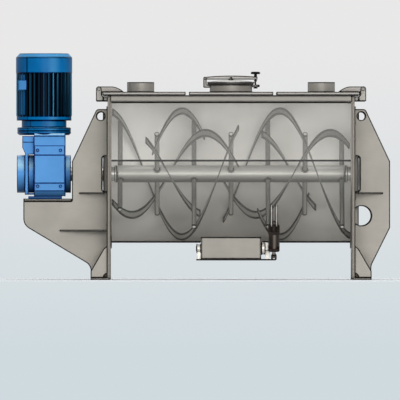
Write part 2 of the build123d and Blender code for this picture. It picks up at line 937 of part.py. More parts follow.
def ribbon(inside, outside, arm, arm_direction, side, start, end, hand):
    """A helical band round the shaft that lies against one side of every arm it passes.

    Its middle surface holds the line from the shaft axis straight outwards at each place, so
    all four edges are helices of one pitch. hand is +1 when it turns with +X."""
    slope = atan(ribbon_pitch / (2 * pi * inside))
    offset = side * ((arm_radius + seat_clearance) / cos(slope) + ribbon_thickness / 2)
    turn_place = arm_place(arm) + offset
    low, high = start - ribbon_thickness / 2, end - ribbon_thickness / 2
    first_angle = arm_direction + hand * 360 * (start - turn_place) / ribbon_pitch
    length = end - start
    axis = Axis((0, 0, shaft_height), (1, 0, 0))
    edges = {}
    for radius in (inside, outside):
        for shift in (0, ribbon_thickness):
            spiral = Edge.make_helix(ribbon_pitch, length, radius, lefthand=hand > 0)
            # The helix starts on local X; local Z becomes the mixer's X and local X its Z.
            frame = Plane(origin=(low + shift, 0, shaft_height), x_dir=(0, 0, 1), z_dir=(1, 0, 0))
            placed = frame.location * spiral
            edges[(radius, shift)] = placed.rotate(axis, -first_angle)
    loop = [(inside, 0), (outside, 0), (outside, ribbon_thickness), (inside, ribbon_thickness)]
    faces = []
    for one, two in zip(loop, loop[1:] + loop[:1]):
        faces.append(Face.make_surface_from_curves(edges[one], edges[two]))
    for at in (0, 1):
        corners = [edges[key] @ at for key in loop]
        faces.append(Face(Wire.make_polygon(corners, close=True)))
    band = Solid(Shell(faces))
    return band if band.volume > 0 else Solid(Shell([-face for face in faces]))


def ribbon_pair(inside, outside, hand, side):
    """Long and short ribbon of the left half; side is the side of the arms they lie on."""
    wall = ribbon_wall_gap - half_length
    long_direction = first_arm_angle if hand > 0 else first_arm_angle + 180
    short = [arm_place(1) + end for end in (short_outer_ribbon if hand > 0 else short_inner_ribbon)]
    return [
        ribbon(inside, outside, 0, long_direction, side, wall, long_ribbon_end, hand),
        ribbon(inside, outside, 1, first_arm_angle - 90, side, short[0], short[1], hand),
    ]


def other_half(shapes):
    """The ribbons of the right half: mirrored, then given half a turn round the shaft."""
    axis = Axis((0, 0, shaft_height), (1, 0, 0))
    return [mirrored(shape).rotate(axis, 180) for shape in shapes]


outer_ribbons = ribbon_pair(ribbon_radius - outer_ribbon_width, ribbon_radius, 1, 1)
inner_ribbons = ribbon_pair(
    inner_ribbon_inside, inner_ribbon_inside + inner_ribbon_width, -1, -1
)
write("shaft_tube", shaft_tube())
write("mixing_arms", [arm_rod(index, arm_radius) for index in range(arm_count)])
write("outer_ribbons_left", outer_ribbons)
write("outer_ribbons_right", other_half(outer_ribbons))
write("inner_ribbons_left", inner_ribbons)
write("inner_ribbons_right", other_half(inner_ribbons))
write("end_stub_shaft", stub_shaft(bush_end - shaft_end_gap))
write("drive_shaft", mirrored(stub_shaft(drive_shaft_past_gearbox - gearbox_left)))


# Lids


lid_pin = (-(plate_outside + lid_pin_from_plate), lid_top + lid_pin_above_lid)


def lid_shell(left, right):
    """Folded sheet lid: top sheet, turned-down lips and inner bars that rest on the gasket."""
    half = end_plate_half_width + lid_side_overhang
    outer = block((left, right), (-half, half), (lid_bottom, lid_top))
    inner = block(
        (left + lid_sheet, right - lid_sheet),
        (-half + lid_sheet, half - lid_sheet),
        (lid_bottom, lid_top - lid_sheet),
    )
    lid = outer - inner
    bar_y = (shell_radius + rail_outside) / 2
    for side in (-1, 1):
        lid += block(
            (left + lid_sheet, right - lid_sheet),
            (side * bar_y - lid_sheet, side * bar_y + lid_sheet),
            (lid_bottom, lid_top - lid_sheet),
        )
    return lid


def side_lid():
    """Left lid with the hole under its spout and the two hinge arms welded on top."""
    left = -(plate_outside + lid_overhang)
    right = -(lid_joint + lid_gap / 2)
    lid = lid_shell(left, right)
    lid += block(
        (-plate_outside, -half_length),
        (-rail_outside, rail_outside),
        (lid_bottom, lid_top - lid_sheet),
    )
    lid -= along_z(disc(spout_radius - spout_wall, (-spout_position, 0)), lid_bottom, lid_top)
    for y in (-lid_hinge_half_spacing, lid_hinge_half_spacing):
        lid += along_y(lid_arm(), y - lid_arm_thickness / 2, y + lid_arm_thickness / 2)
    return lid - along_y(disc(lid_pin_radius + running_clearance, lid_pin), -rail_outside, rail_outside)


def lid_arm():
    """Hinge arm from the side: an eye round the pin, a flat top and a curved end."""
    x, z = lid_pin
    top = z + lid_eye_radius
    bend = x + lid_eye_radius + lid_arm_flat
    end = x + lid_eye_radius + lid_arm_reach
    heel = -(plate_outside + lid_overhang)
    edge = Line((x, top), (bend, top))
    curve = ThreePointArc(
        (bend, top),
        ((bend + end) / 2, lid_top + lid_arm_bow * (top - lid_top)),
        (end, lid_top),
    )
    base = Line((end, lid_top), (heel, lid_top))
    rise = Line((heel, lid_top), (x, z - lid_eye_radius))
    close = Line((x, z - lid_eye_radius), (x, top))
    return make_face(Curve() + [edge, curve, base, rise, close]) + disc(lid_eye_radius, lid_pin)


def hinge_bracket():
    """Pair of cheeks with a web between them and a pad on the end plate, at the rear."""
    x, z = lid_pin
    radius = hinge_cheek_radius
    pad_left = -(plate_outside + hinge_pad_length)
    low = z + radius - hinge_cheek_length
    pad_top = low + hinge_pad_height
    cheek = outline(
        (x - radius, low),
        (pad_left, low),
        (pad_left, pad_top),
        (x + radius, pad_top + hinge_cheek_slope),
        (x + radius, z),
        (x - radius, z),
    ) + disc(radius, lid_pin)
    inside = lid_arm_thickness / 2 + hinge_side_gap
    middle = lid_hinge_half_spacing
    bracket = along_y(cheek, middle + inside, middle + inside + hinge_cheek)
    bracket += along_y(cheek, middle - inside - hinge_cheek, middle - inside)
    bracket += block(
        (x - hinge_web_inset, pad_left),
        (middle - inside, middle + inside),
        (low, pad_top - hinge_web_drop),
    )
    bracket += block(
        (pad_left, -plate_outside),
        (middle - hinge_pad_width / 2, middle + hinge_pad_width / 2),
        (low, pad_top),
    )
    hole = disc(lid_pin_radius + running_clearance, lid_pin)
    return bracket - along_y(hole, middle - hinge_pad_width, middle + hinge_pad_width)


def collared_pin(radius, place, middle, reach, lip):
    """Pin along Y that passes pieces reaching as far as reach, with a loose collar at each end."""
    pin = along_y(disc(radius, place), middle - reach - pin_overrun, middle + reach + pin_overrun)
    for side in (-1, 1):
        near = middle + side * (reach + seat_clearance)
        pin += along_y(disc(radius + lip, place), *sorted((near, near + side * pin_collar)))
    return pin


def lid_hinge_pin():
    reach = lid_arm_thickness / 2 + hinge_side_gap + hinge_cheek
    return collared_pin(lid_pin_radius, lid_pin, lid_hinge_half_spacing, reach, pin_collar_lip)


def spout():
    """Round inlet spout standing on the left lid."""
    section = ring(spout_radius, spout_radius - spout_wall, (-spout_position, 0))
    return along_z(section, lid_top, lid_top + spout_height)


def centre_lid():
    half = lid_joint - lid_gap / 2
    lid = lid_shell(-half, half)
    return lid - along_z(disc(neck_radius - neck_wall), lid_bottom, lid_top)


left_hinges = front_and_rear(hinge_bracket())
left_pins = front_and_rear(lid_hinge_pin())
write("left_lid", side_lid())
write("right_lid", mirrored(side_lid()))
write("left_spout", spout())
write("right_spout", mirrored(spout()))
write("centre_lid", centre_lid())
write("lid_hinge_brackets", left_hinges + [mirrored(p) for p in left_hinges])


# Hatch


hatch_pin = (-hatch_pin_position, hatch_pin_height)


def upright(profile):
    """Turns a profile of (radius, Z) points round the middle of the hatch."""
    return revolve(Plane.XZ * Polygon(*profile, align=None), Axis.Z, 360)


def hatch_neck():
    """Neck and its flange, which has a flat side where the head of the clamp bolt comes up."""
    inside = neck_radius - neck_wall
    flange_top = neck_top + neck_flange_thickness
    neck = upright(
        [
            (inside, lid_top),
            (neck_radius, lid_top),
            (neck_radius, neck_top),
            (neck_flange_radius, neck_top),
            (neck_flange_radius, flange_top),
            (inside, flange_top),
        ]
    )
    flat = knob_position - clamp_nut[0] / 2 - clamp_flat_gap
    reach = neck_flange_radius + 1
    return neck - block((flat, reach), (-reach, reach), (neck_top, flange_top))


def hatch_lugs():
    """Two lugs for the hinge pin and two that the clamp bolt hooks under, welded to the neck."""
    x, z = hatch_pin
    low = neck_top - hatch_lug_drop
    hinge = outline(
        (x - hatch_lug_radius, low, hatch_lug_corner),
        (0, low),
        (0, neck_top),
        (x + hatch_lug_radius, neck_top),
        (x + hatch_lug_radius, z),
        (x - hatch_lug_radius, z),
    ) + disc(hatch_lug_radius, hatch_pin)
    hinge -= disc(hatch_pin_radius + running_clearance, hatch_pin)
    rounding = clamp_lug_height / 2
    nose = (clamp_lug_reach - rounding, neck_top - rounding)
    clamp = outline(
        (0, neck_top - clamp_lug_height),
        (nose[0], neck_top - clamp_lug_height),
        (nose[0], neck_top),
        (0, neck_top),
    ) + disc(rounding, nose)
    hinge_near = yoke_width / 2 + hinge_side_gap
    clamp_near = clamp_lug_gap / 2
    clamp_far = clamp_near + clamp_lug_thickness
    boss = disc(clamp_boss_radius, nose)
    around_neck = along_z(disc(neck_radius), lid_top, neck_top)
    lugs = []
    for side in (-1, 1):
        lug = along_y(hinge, *sorted((side * hinge_near, side * (hinge_near + hatch_lug_thickness))))
        lugs.append(lug - around_neck)
        lug = along_y(clamp, *sorted((side * clamp_near, side * clamp_far)))
        lug += along_y(boss, *sorted((side * clamp_far, side * (clamp_far + clamp_boss))))
        lugs.append(lug - around_neck)
    return lugs


def hatch_gasket():
    top = neck_top + neck_flange_thickness
    section = ring(neck_flange_radius - hatch_gasket_inset, neck_radius - neck_wall)
    return along_z(section, top, hatch_bottom)


def hatch_cover():
    """Dished cover with a rolled rim and the two ears that hold the yoke."""
    top = hatch_bottom + hatch_rim
    crown = top + hatch_dome
    chord = neck_flange_radius - hatch_dome_inset
    dome_radius = (chord**2 + hatch_dome**2) / (2 * hatch_dome)
    outer = Plane.XZ * Pos(0, crown - dome_radius) * Circle(dome_radius)
    keep = Plane.XZ * Pos(chord / 2, top + hatch_dome / 2) * Rectangle(chord, hatch_dome)
    cover = revolve(outer & keep, Axis.Z, 360) + along_z(disc(neck_flange_radius), hatch_bottom, top)
    recess = disc(neck_radius - hatch_recess_inset)
    cover -= along_z(recess, hatch_bottom, hatch_bottom + hatch_recess_depth)
    ear_top = hatch_pin_height + hatch_ear_above_pin
    ear = outline(
        (-hatch_ear_half_foot, top),
        (hatch_ear_half_foot, top),
        (hatch_ear_half_foot, crown - 1),
        (hatch_ear_half_top, ear_top, hatch_pin_radius),
        (-hatch_ear_half_top, ear_top, hatch_pin_radius),
        (-hatch_ear_half_foot, crown - 1),
    )
    ear -= disc(hatch_pin_radius, (0, hatch_pin_height))
    near = yoke_width / 2 + hinge_side_gap
    for side in (-1, 1):
        cover += along_y(ear, *sorted((side * near, side * (near + hatch_lug_thickness))))
    return cover


def hatch_yoke():
    """Arched bar over the cover, from the hinge pin to the clamp knob."""
    x, z = hatch_pin
    start = x + yoke_eye_neck
    end = knob_position + knob_neck_radius + yoke_end_overrun
    low = yoke_bottom
    side_top = low + yoke_end_height
    crown = low + yoke_middle_height
    arch = ThreePointArc((start, side_top), (0, crown), (end, side_top))
    right = Line((end, side_top), (end, low))
    base = Line((start, low), (end, low))
    left = Line((start, low), (start, side_top))
    face = make_face(Curve() + [arch, right, base, left])
    face += disc(yoke_eye_radius, hatch_pin)
    neck = Rectangle(yoke_eye_neck + 2, 2 * (yoke_eye_radius - hatch_pin_below_middle))
    face += Pos(x + yoke_eye_neck / 2 + 1, low + yoke_end_height / 2) * neck
    face -= disc(hatch_pin_radius + running_clearance, hatch_pin)
    face -= disc(hatch_pin_radius, (0, hatch_pin_height))
    bar = along_y(face, -yoke_width / 2, yoke_width / 2)
    knob = (knob_position, 0)
    bar -= along_z(disc(clamp_bolt_radius + running_clearance, knob), low - 1, crown + 1)
    return bar - along_z(disc(knob_neck_radius + knob_seat_margin, knob), side_top, crown + 1)


def yoke_pin():
    """Pin that joins the yoke to the cover's ears."""
    reach = yoke_width / 2 + hinge_side_gap + hatch_lug_thickness
    radius = hatch_pin_radius - running_clearance
    return collared_pin(radius, (0, hatch_pin_height), 0, reach, hatch_collar_lip)


def hatch_hinge_pin():
    reach = yoke_width / 2 + hinge_side_gap + hatch_lug_thickness
    return collared_pin(hatch_pin_radius, hatch_pin, 0, reach, hatch_collar_lip)


def clamp_knob():
    """Mushroom knob, its long stud and the flat nut on it that hooks under the clamp lugs."""
    seat = yoke_bottom + yoke_end_height + seat_clearance + knob_lift
    neck_end = seat + knob_neck_height
    top = neck_end + knob_height
    nut_length, nut_width, nut_height = clamp_nut
    nut_top = neck_top - clamp_lug_height - clamp_nut_gap
    nut_bottom = nut_top - nut_height
    at_knob = Pos(knob_position, 0, 0)
    knob = at_knob * upright(
        [
            (0, seat),
            (knob_neck_radius, seat),
            (knob_neck_radius - knob_neck_taper, neck_end),
            (knob_radius - knob_rim_inset, neck_end),
            (knob_radius, neck_end + knob_rim_inset),
            (knob_radius, top - knob_crown_height),
            (knob_radius - knob_crown_inset, top - knob_neck_taper),
            (0, top),
        ]
    )
    stud = at_knob * along_z(disc(clamp_bolt_radius), nut_bottom, seat)
    section = Rectangle(nut_length, nut_width) - disc(clamp_bolt_radius)
    return [knob, stud, at_knob * along_z(section, nut_bottom, nut_top)]


pins = left_pins + [mirrored(p) for p in left_pins] + [hatch_hinge_pin()]
write("hinge_pins", pins)
write("hatch_neck", [hatch_neck()] + hatch_lugs())
write("hatch_gasket", hatch_gasket())
write("hatch_cover", [hatch_cover(), yoke_pin()])
write("hatch_yoke", hatch_yoke())
write("clamp_knob", clamp_knob())


# Discharge


def chute():
    """Box under the opening, its top edge fitted to the outside of the shell."""
    length, width = chute_half_length, chute_half_width
    tube = Rectangle(2 * length, 2 * width)
    tube -= Rectangle(2 * (length - chute_wall), 2 * (width - chute_wall))
    box = along_z(tube, chute_bottom, shaft_height / 2)
    cut = disc(shell_radius + seat_clearance, (0, shaft_height))
    cut += disc(flap_shaft_radius + seat_clearance, flap_axis)
    return box - along_x(cut, -length - 1, length + 1)


def chute_flange():
    """Outlet flange with four bolt holes, and the shelf under the outer flap bearing."""
    inner = (chute_half_length - chute_wall, chute_half_width - chute_wall)
    outer = (chute_half_length + chute_flange_lip, chute_half_width + chute_flange_lip)
    face = Rectangle(2 * outer[0], 2 * outer[1]) - Rectangle(2 * inner[0], 2 * inner[1])
    front = flap_axis[0] - bearing_shelf_front
    rear = flap_axis[0] + bearing_shelf_rear
    face += outline(
        (outer[0] - 1, front),
        (outer[0] + bearing_shelf_length, front, bearing_shelf_corner),
        (outer[0] + bearing_shelf_length, rear, bearing_shelf_corner),
        (outer[0] - 1, rear),
    )
    for place in chute_bolt_places():
        face -= disc(chute_bolt_radius, place)
    return along_z(face, chute_bottom - chute_flange_thickness, chute_bottom)


def chute_bolt_places():
    x = chute_half_length + chute_flange_lip / 2
    y = chute_half_width + chute_flange_lip / 2
    return [(i * x, j * y) for i in (-1, 1) for j in (-1, 1)]


def flap_bearings():
    """Flange bearing on each side of the chute, with the posts that stand on its flange."""
    y, z = flap_axis
    side = chute_half_length
    hole = disc(flap_shaft_radius + running_clearance, (y, z))
    left = along_x(disc(left_bearing_radius, (y, z)), -side - flap_bearing_length, -side)
    left += block(
        (-side - left_post_length, -side),
        (y - left_post_half_width, y + left_post_half_width),
        (chute_bottom, z - left_bearing_radius / 2),
    )
    face = side + flap_bearing_length
    right = along_x(disc(right_bearing_radius, (y, z)), side, face)
    rim = right.edges().filter_by(GeomType.CIRCLE).group_by(Axis.X)[-1]
    right = fillet(rim, right_bearing_rounding)
    right += block(
        (face - outer_block_bite, face + outer_block_length),
        (y - outer_block_half_width, y + outer_block_half_width),
        (z - outer_block_drop, z + right_bearing_radius),
    )
    right += block(
        (face, face + outer_web_length),
        (y + outer_web[0], y + outer_web[1]),
        (chute_bottom, z - outer_web_drop),
    )
    cut = along_x(hole, -2 * side, 2 * side)
    return [left - cut, right - cut]


def flap_point(radius, y):
    """Height of the flap or shell surface of one radius at a place in Y."""
    return shaft_height - sqrt(radius**2 - y**2)


def flap():
    """Curved flap that closes the shell flush, with two ribs down to hubs on its shaft."""
    half = opening_half_width - flap_edge_gap
    length = chute_half_length - chute_wall - flap_edge_gap
    strip = Pos(0, shaft_height / 2) * Rectangle(2 * half, shaft_height)
    door = along_x(ring(shell_radius, trough_radius, (0, shaft_height)) & strip, -length, length)
    y, z = flap_axis
    low_reach, high_reach = (opening_half_width - inset for inset in flap_rib_from_edge)
    rib = outline(
        (y - flap_rib_back, z),
        (y + flap_rib_heel[0], z - flap_rib_heel[1]),
        (low_reach, flap_point(shell_radius, low_reach) - flap_rib_depth),
        (high_reach, flap_point(shell_radius, high_reach) + flap_rib_seat),
        (y - flap_rib_back, flap_point(shell_radius, y) + flap_rib_seat),
    )
    rib -= disc(shell_radius - flap_rib_bite, (0, shaft_height))
    rib += disc(flap_hub_radius, flap_axis)
    rib -= disc(flap_shaft_radius + running_clearance, flap_axis)
    for side in (-1, 1):
        middle = side * (chute_half_length - flap_rib_from_end)
        door += along_x(rib, middle - flap_rib_thickness / 2, middle + flap_rib_thickness / 2)
    return door


def flap_shaft():
    left = -(chute_half_length + flap_bearing_length + flap_shaft_overrun)
    right = cylinder_position + lever_hub_length / 2 + flap_shaft_overrun
    return along_x(disc(flap_shaft_radius, flap_axis), left, right)


# The lever stands square to the cylinder at the middle of the flap's travel, so that its
# sine and cosine change as little as they can and both ends of the travel match.
half_travel = radians(flap_travel / 2)


def lever_end(turn):
    """Clevis pin in (Y, Z) after the shaft has turned by an angle in radians."""
    y, z = lever_closed
    return (
        flap_axis[0] + y * cos(turn) - z * sin(turn),
        flap_axis[1] + y * sin(turn) + z * cos(turn),
    )


def find_lever():
    """Closed lever direction: repeated until it is square to the cylinder at mid-travel."""
    lever = (-lever_length * sin(half_travel), -lever_length * cos(half_travel))
    for _ in range(40):
        y = lever[0] * cos(half_travel) + lever[1] * sin(half_travel)
        z = -lever[0] * sin(half_travel) + lever[1] * cos(half_travel)
        to_pin = atan2(cylinder_pin[1] - flap_axis[1] - z, cylinder_pin[0] - flap_axis[0] - y)
        middle = to_pin + pi / 2
        closed = middle + half_travel
        lever = (lever_length * cos(closed), lever_length * sin(closed))
    return lever


def cylinder_line(turn):
    """Length from clevis to cylinder pin and the cylinder's lean from upright.

    The clevis goes straight from end to end of the travel while the lever's pin bulges off
    that line, so the clevis is set half the bulge out and its pin hole has that much play."""
    y, z = lever_end(turn)
    rise = cylinder_pin[1] - z - bulge[1] / 2
    back = y + bulge[0] / 2 - cylinder_pin[0]
    return sqrt(rise**2 + back**2), atan2(back, rise)


lever_closed = find_lever()
ends_of_travel = (lever_end(0.0), lever_end(-2 * half_travel))
bulge = [
    lever_end(-half_travel)[i] - (ends_of_travel[0][i] + ends_of_travel[1][i]) / 2 for i in (0, 1)
]
pivot_play = sqrt(bulge[0] ** 2 + bulge[1] ** 2) / 2 + seat_clearance
closed_length, closed_lean = cylinder_line(0.0)
open_length, open_lean = cylinder_line(-2 * half_travel)
print("clevis pin closed and open", ends_of_travel, "play", pivot_play)
print("cylinder length closed", closed_length, "open", open_length)
print("cylinder lean closed", closed_lean, "open", open_lean)


rod_end = clevis_slot_depth + clevis_thread_stop - closed_length


def in_cylinder(shape):
    """Places a shape drawn upright under the cylinder pin onto the leaning cylinder."""
    return Pos(cylinder_position, *cylinder_pin) * Rot(degrees(closed_lean), 0, 0) * shape


def across_lever(sketch, half):
    """Extrudes a (Y, Z) sketch to both sides of the cylinder's place along the shaft."""
    return along_x(sketch, cylinder_position - half, cylinder_position + half)


def flap_lever():
    """Lever clamped on the flap shaft, with the clevis pin in its far end."""
    pin = lever_end(0.0)
    y, z = lever_closed
    across = (-z / lever_length, y / lever_length)
    shape = disc(flap_hub_radius, flap_axis) + disc(lever_tip_radius, pin)
    wide, narrow = lever_hub_waist * flap_hub_radius, lever_tip_radius - lever_tip_step
    shape += outline(
        (flap_axis[0] + wide * across[0], flap_axis[1] + wide * across[1]),
        (pin[0] + narrow * across[0], pin[1] + narrow * across[1]),
        (pin[0] - narrow * across[0], pin[1] - narrow * across[1]),
        (flap_axis[0] - wide * across[0], flap_axis[1] - wide * across[1]),
    )
    lever = across_lever(shape, lever_thickness / 2)
    lever += across_lever(disc(flap_hub_radius, flap_axis), lever_hub_length / 2)
    lever -= across_lever(disc(flap_shaft_radius, flap_axis), lever_hub_length)
    return lever + across_lever(disc(clevis_pin_radius, pin), clevis_radius - clevis_side_flat)


def cylinder_caps():
    """Rear cap with its tapered eye, and front cap round the rod."""
    front = -(closed_length - rod_exposed)
    rear = -rear_clevis_length
    square = Rectangle(2 * cylinder_radius, 2 * cylinder_radius)
    square = fillet(square.vertices(), cylinder_corner)
    rear_cap = along_z(square, rear - cylinder_cap, rear)
    taper = outline(
        (-rear_eye_shoulder, rear),
        (rear_eye_shoulder, rear),
        (rear_eye_radius, -rear_eye_radius / 2),
        (-rear_eye_radius, -rear_eye_radius / 2),
    ) + disc(rear_eye_radius)
    rear_cap += along_x(taper, -rear_eye_width / 2, rear_eye_width / 2)
    pin_hole = disc(cylinder_pin_radius + running_clearance)
    rear_cap -= along_x(pin_hole, -rear_eye_width, rear_eye_width)
    rod_hole = disc(rod_radius + running_clearance)
    front_cap = along_z(square - rod_hole, front, front + cylinder_cap)
    return [in_cylinder(rear_cap), in_cylinder(front_cap)]


def cylinder_tube():
    low = -(closed_length - rod_exposed) + cylinder_cap
    high = -rear_clevis_length - cylinder_cap
    return in_cylinder(along_z(ring(cylinder_bore + cylinder_wall, cylinder_bore), low, high))


def piston_rod():
    """Rod with its piston, drawn out while the flap is closed."""
    low = -(closed_length - rod_exposed) + cylinder_cap + piston_end_gap
    rod = along_z(disc(rod_radius), rod_end, low)
    piston = along_z(disc(cylinder_bore - running_clearance), low, low + piston_length)
    return in_cylinder(rod + piston)


def rod_clevis():
    """Round-ended clevis on the rod, slotted for the lever; its pin hole has play."""
    centre = -closed_length
    half = clevis_radius - clevis_side_flat
    body = along_x(disc(clevis_radius, (0, centre)), -half, half)
    body = fillet(body.edges().filter_by(GeomType.CIRCLE), clevis_radius / 2)
    neck_end = centre + clevis_neck_length
    body += along_z(disc(clevis_neck_radius), centre + clevis_neck_start, neck_end)
    body -= along_z(disc(rod_radius), rod_end, neck_end + 1)
    slot_low = centre - 2 * clevis_radius
    slot = block(
        (-clevis_slot / 2, clevis_slot / 2),
        (-2 * clevis_radius, 2 * clevis_radius),
        (slot_low, centre + clevis_slot_depth),
    )
    body -= slot
    hole = disc(clevis_pin_radius + pivot_play, (0, centre))
    return in_cylinder(body - along_x(hole, -clevis_radius - 1, clevis_radius + 1))


def cylinder_bracket():
    """Two cheeks on a pad against the shell, with the cylinder pin through them."""
    y, z = cylinder_pin
    top = z + bracket_cheek_rise
    foot = bracket_cheek_radius - bracket_cheek_foot_inset
    cheek = outline(
        (y - bracket_cheek_top[0], top, bracket_cheek_corner),
        (y + bracket_cheek_top[1], top),
        (y + bracket_cheek_rear_waist[0], z + bracket_cheek_rear_waist[1]),
        (y + foot, z),
        (y - foot, z),
        (y - bracket_cheek_front_waist[0], z + bracket_cheek_front_waist[1]),
    ) + disc(bracket_cheek_radius, cylinder_pin)
    cheek -= disc(shell_radius + seat_clearance, (0, shaft_height))
    cheek -= disc(cylinder_pin_radius + running_clearance, cylinder_pin)
    near = rear_eye_width / 2 + bracket_cheek_gap
    far = near + bracket_cheek
    left = along_x(cheek, cylinder_position - far, cylinder_position - near)
    right = along_x(cheek, cylinder_position + near, cylinder_position + far)
    return [left, right, across_lever(disc(cylinder_pin_radius, cylinder_pin), far + cylinder_pin_overrun)]


write("discharge_chute", chute())
write("chute_flange", chute_flange())
write("flap_bearings", flap_bearings())
write("discharge_flap", flap())
write("flap_shaft", flap_shaft())
write("flap_lever", flap_lever())
write("cylinder_caps", cylinder_caps())
write("cylinder_tube", cylinder_tube())
write("piston_rod", piston_rod())
write("rod_clevis", rod_clevis())
write("cylinder_bracket", cylinder_bracket())


# Drive


def at_motor(shape):
    return Pos(motor_x, 0, 0) * shape


def motor_turned(profile):
    """Turns a profile of (radius, Z) points round the motor's upright axis."""
    return at_motor(upright(profile))


def seam(radius, low, high):
    """Shallow upright groove where the round casting or sheet is closed."""
    angle = radians(-90 - seam_angle)
    groove = Rot(0, 0, degrees(angle)) * Box(*seam_groove, high - low)
    return at_motor(Pos(radius * cos(angle), radius * sin(angle), (low + high) / 2) * groove)


def gearbox_housing():
    """Cast housing: bevelled block, bulge and rib at the left, and the bore for the sleeve."""
    depth = gearbox_half_depth
    shelf, drop = gearbox_top_bevel
    profile = outline(
        (-depth, gearbox_bottom + gearbox_bevel),
        (-depth + gearbox_bevel / 2, gearbox_bottom),
        (depth - gearbox_bevel / 2, gearbox_bottom),
        (depth, gearbox_bottom + gearbox_bevel),
        (depth, gearbox_top - drop),
        (depth - shelf, gearbox_top),
        (-depth + shelf, gearbox_top),
        (-depth, gearbox_top - drop),
    )
    body = along_x(profile, gearbox_left, gearbox_right)
    register = along_z(disc(adapter_radius + seat_clearance), adapter_bottom, gearbox_top)
    body -= at_motor(register)
    rib_top = shaft_height + cover_disc_radius + flange_rib_rise
    shoulder = outline(
        (bulge_left, gearbox_top - bulge_low_drop),
        (bulge_left, gearbox_top - bulge_top_drop),
        (gearbox_left, gearbox_top - bulge_top_drop),
        (gearbox_left, rib_top),
        (bulge_left + bulge_slope, rib_top),
    )
    half = depth - bulge_side_inset
    body += along_y(shoulder, -half, half)
    low = gearbox_bottom + flange_rib_foot
    rib = outline(
        (-half, low, flange_rib_corner),
        (half, low, flange_rib_corner),
        (half, rib_top),
        (-half, rib_top),
    )
    body += along_x(rib, flange_rib_left, flange_rib_right)
    web_half = half - flange_web_inset
    web_top = shaft_height - cover_disc_radius - flange_web_gap
    body += block((flange_rib_right, gearbox_left), (-web_half, web_half), (low, web_top))
    body += along_x(disc(cover_hub_radius, (0, shaft_height)), flange_rib_right, gearbox_left)
    foot_half = depth - gearbox_foot_side_inset
    body += block(
        (gearbox_left - gearbox_foot_reach, gearbox_right - gearbox_foot_inset),
        (-foot_half, foot_half),
        (shelf_top, gearbox_bottom),
    )
    bore = disc(journal_radius + sleeve_wall + running_clearance, (0, shaft_height))
    return body - along_x(bore, bulge_left - 1, gearbox_right + 1)


def gearbox_covers():
    """Front and rear covers with a raised middle, and the round end covers on the shaft line."""
    depth = gearbox_half_depth
    left, right = gearbox_left + cover_plate_inset, gearbox_right - cover_plate_inset
    front = block(
        (left, right),
        (-depth - cover_plate_proud, -depth),
        (gearbox_bottom + gearbox_bevel, gearbox_top - cover_plate_drop),
    )
    front += block(
        (left, right),
        (-depth - cover_panel_proud, -depth),
        (gearbox_bottom + cover_panel_low, gearbox_top - cover_panel_drop),
    )
    bore = journal_radius + sleeve_wall + running_clearance
    hub = cover_hub_radius + seat_clearance
    gap = seat_clearance
    places = (
        (bulge_left - cover_disc_length, flange_rib_left - gap, bore),
        (flange_rib_right + gap, gearbox_left - gap, hub),
        (gearbox_right, gearbox_right + cover_disc_length, bore),
    )
    discs = [
        along_x(ring(cover_disc_radius, inside, (0, shaft_height)), start, end)
        for start, end, inside in places
    ]
    return front_and_rear(front) + discs


def output_sleeve():
    """Hollow output shaft of the gearbox, keyed on the drive shaft."""
    inside = journal_radius + running_clearance
    outside = journal_radius + sleeve_wall
    start, end = gearbox_left - sleeve_left_reach, gearbox_right + sleeve_right_reach
    return along_x(ring(outside, inside, (0, shaft_height)), start, end)


def gearbox_screws():
    """Cover screws front and rear, with hexagon sockets."""
    face = -(gearbox_half_depth + cover_plate_proud)
    screws = []
    for x in (gearbox_left + cover_screws_from_left, gearbox_right - cover_screws_from_right):
        for z in (gearbox_bottom + cover_screws_from_bottom, gearbox_top - cover_screws_from_top):
            section = disc(cover_screw_radius, (x, z))
            section -= Pos(x, z) * RegularPolygon(cover_screw_socket, 6)
            screws += front_and_rear(along_y(section, face - cover_screw_head, face))
    return screws


def motor_adapter():
    """Adapter flange with its groove, and the neck under the motor flange."""
    low = adapter_bottom
    high = low + adapter_height
    bore = motor_shaft_radius + adapter_bore_wall
    inset, rise = adapter_chamfer
    groove_low, groove_depth, groove_width = adapter_groove
    shape = motor_turned(
        [
            (bore, low),
            (adapter_radius - inset, low),
            (adapter_radius, low + rise),
            (adapter_radius, low + groove_low),
            (adapter_radius - groove_depth, low + groove_low + groove_width / 2),
            (adapter_radius, low + groove_low + groove_width),
            (adapter_radius, high - adapter_top_bevel),
            (adapter_radius - adapter_top_bevel, high),
            (neck_ring_radius, high),
            (neck_ring_radius, high + neck_ring_height),
            (bore, high + neck_ring_height),
        ]
    )
    shape -= seam(adapter_radius, low - 1, high + 1)
    return shape - seam(neck_ring_radius, high, high + neck_ring_height + 1)


def motor_housing():
    """Finned stator housing with end walls, mounting flange and a flat pad at the front left."""
    low = motor_flange_bottom
    fin_low = motor_body_bottom
    top = motor_body_top
    bore = motor_shaft_radius + running_clearance
    shell = motor_turned(
        [
            (bore, low),
            (motor_flange_radius, low),
            (motor_flange_radius, fin_low),
            (fin_root_radius, fin_low),
            (fin_root_radius, top),
            (bore, top),
            (bore, top - stator_end_wall),
            (stator_bore, top - stator_end_wall),
            (stator_bore, fin_low + stator_floor),
            (bore, fin_low + stator_floor),
        ]
    )
    shell -= seam(motor_flange_radius, low - 1, fin_low + 1)
    root = fin_root_radius - fin_root_bite
    fin = block((root, fin_tip_radius), (-fin_thickness / 2, fin_thickness / 2), (fin_low, top))
    shell += [at_motor(Rot(0, 0, 360 * i / fin_count) * fin) for i in range(fin_count)]
    return shell + block(
        (motor_x - pad_from_axis[0], motor_x - pad_from_axis[1]),
        (-pad_front, pad_depth - pad_front),
        (top - pad_below_top[0], top - pad_below_top[1]),
    )


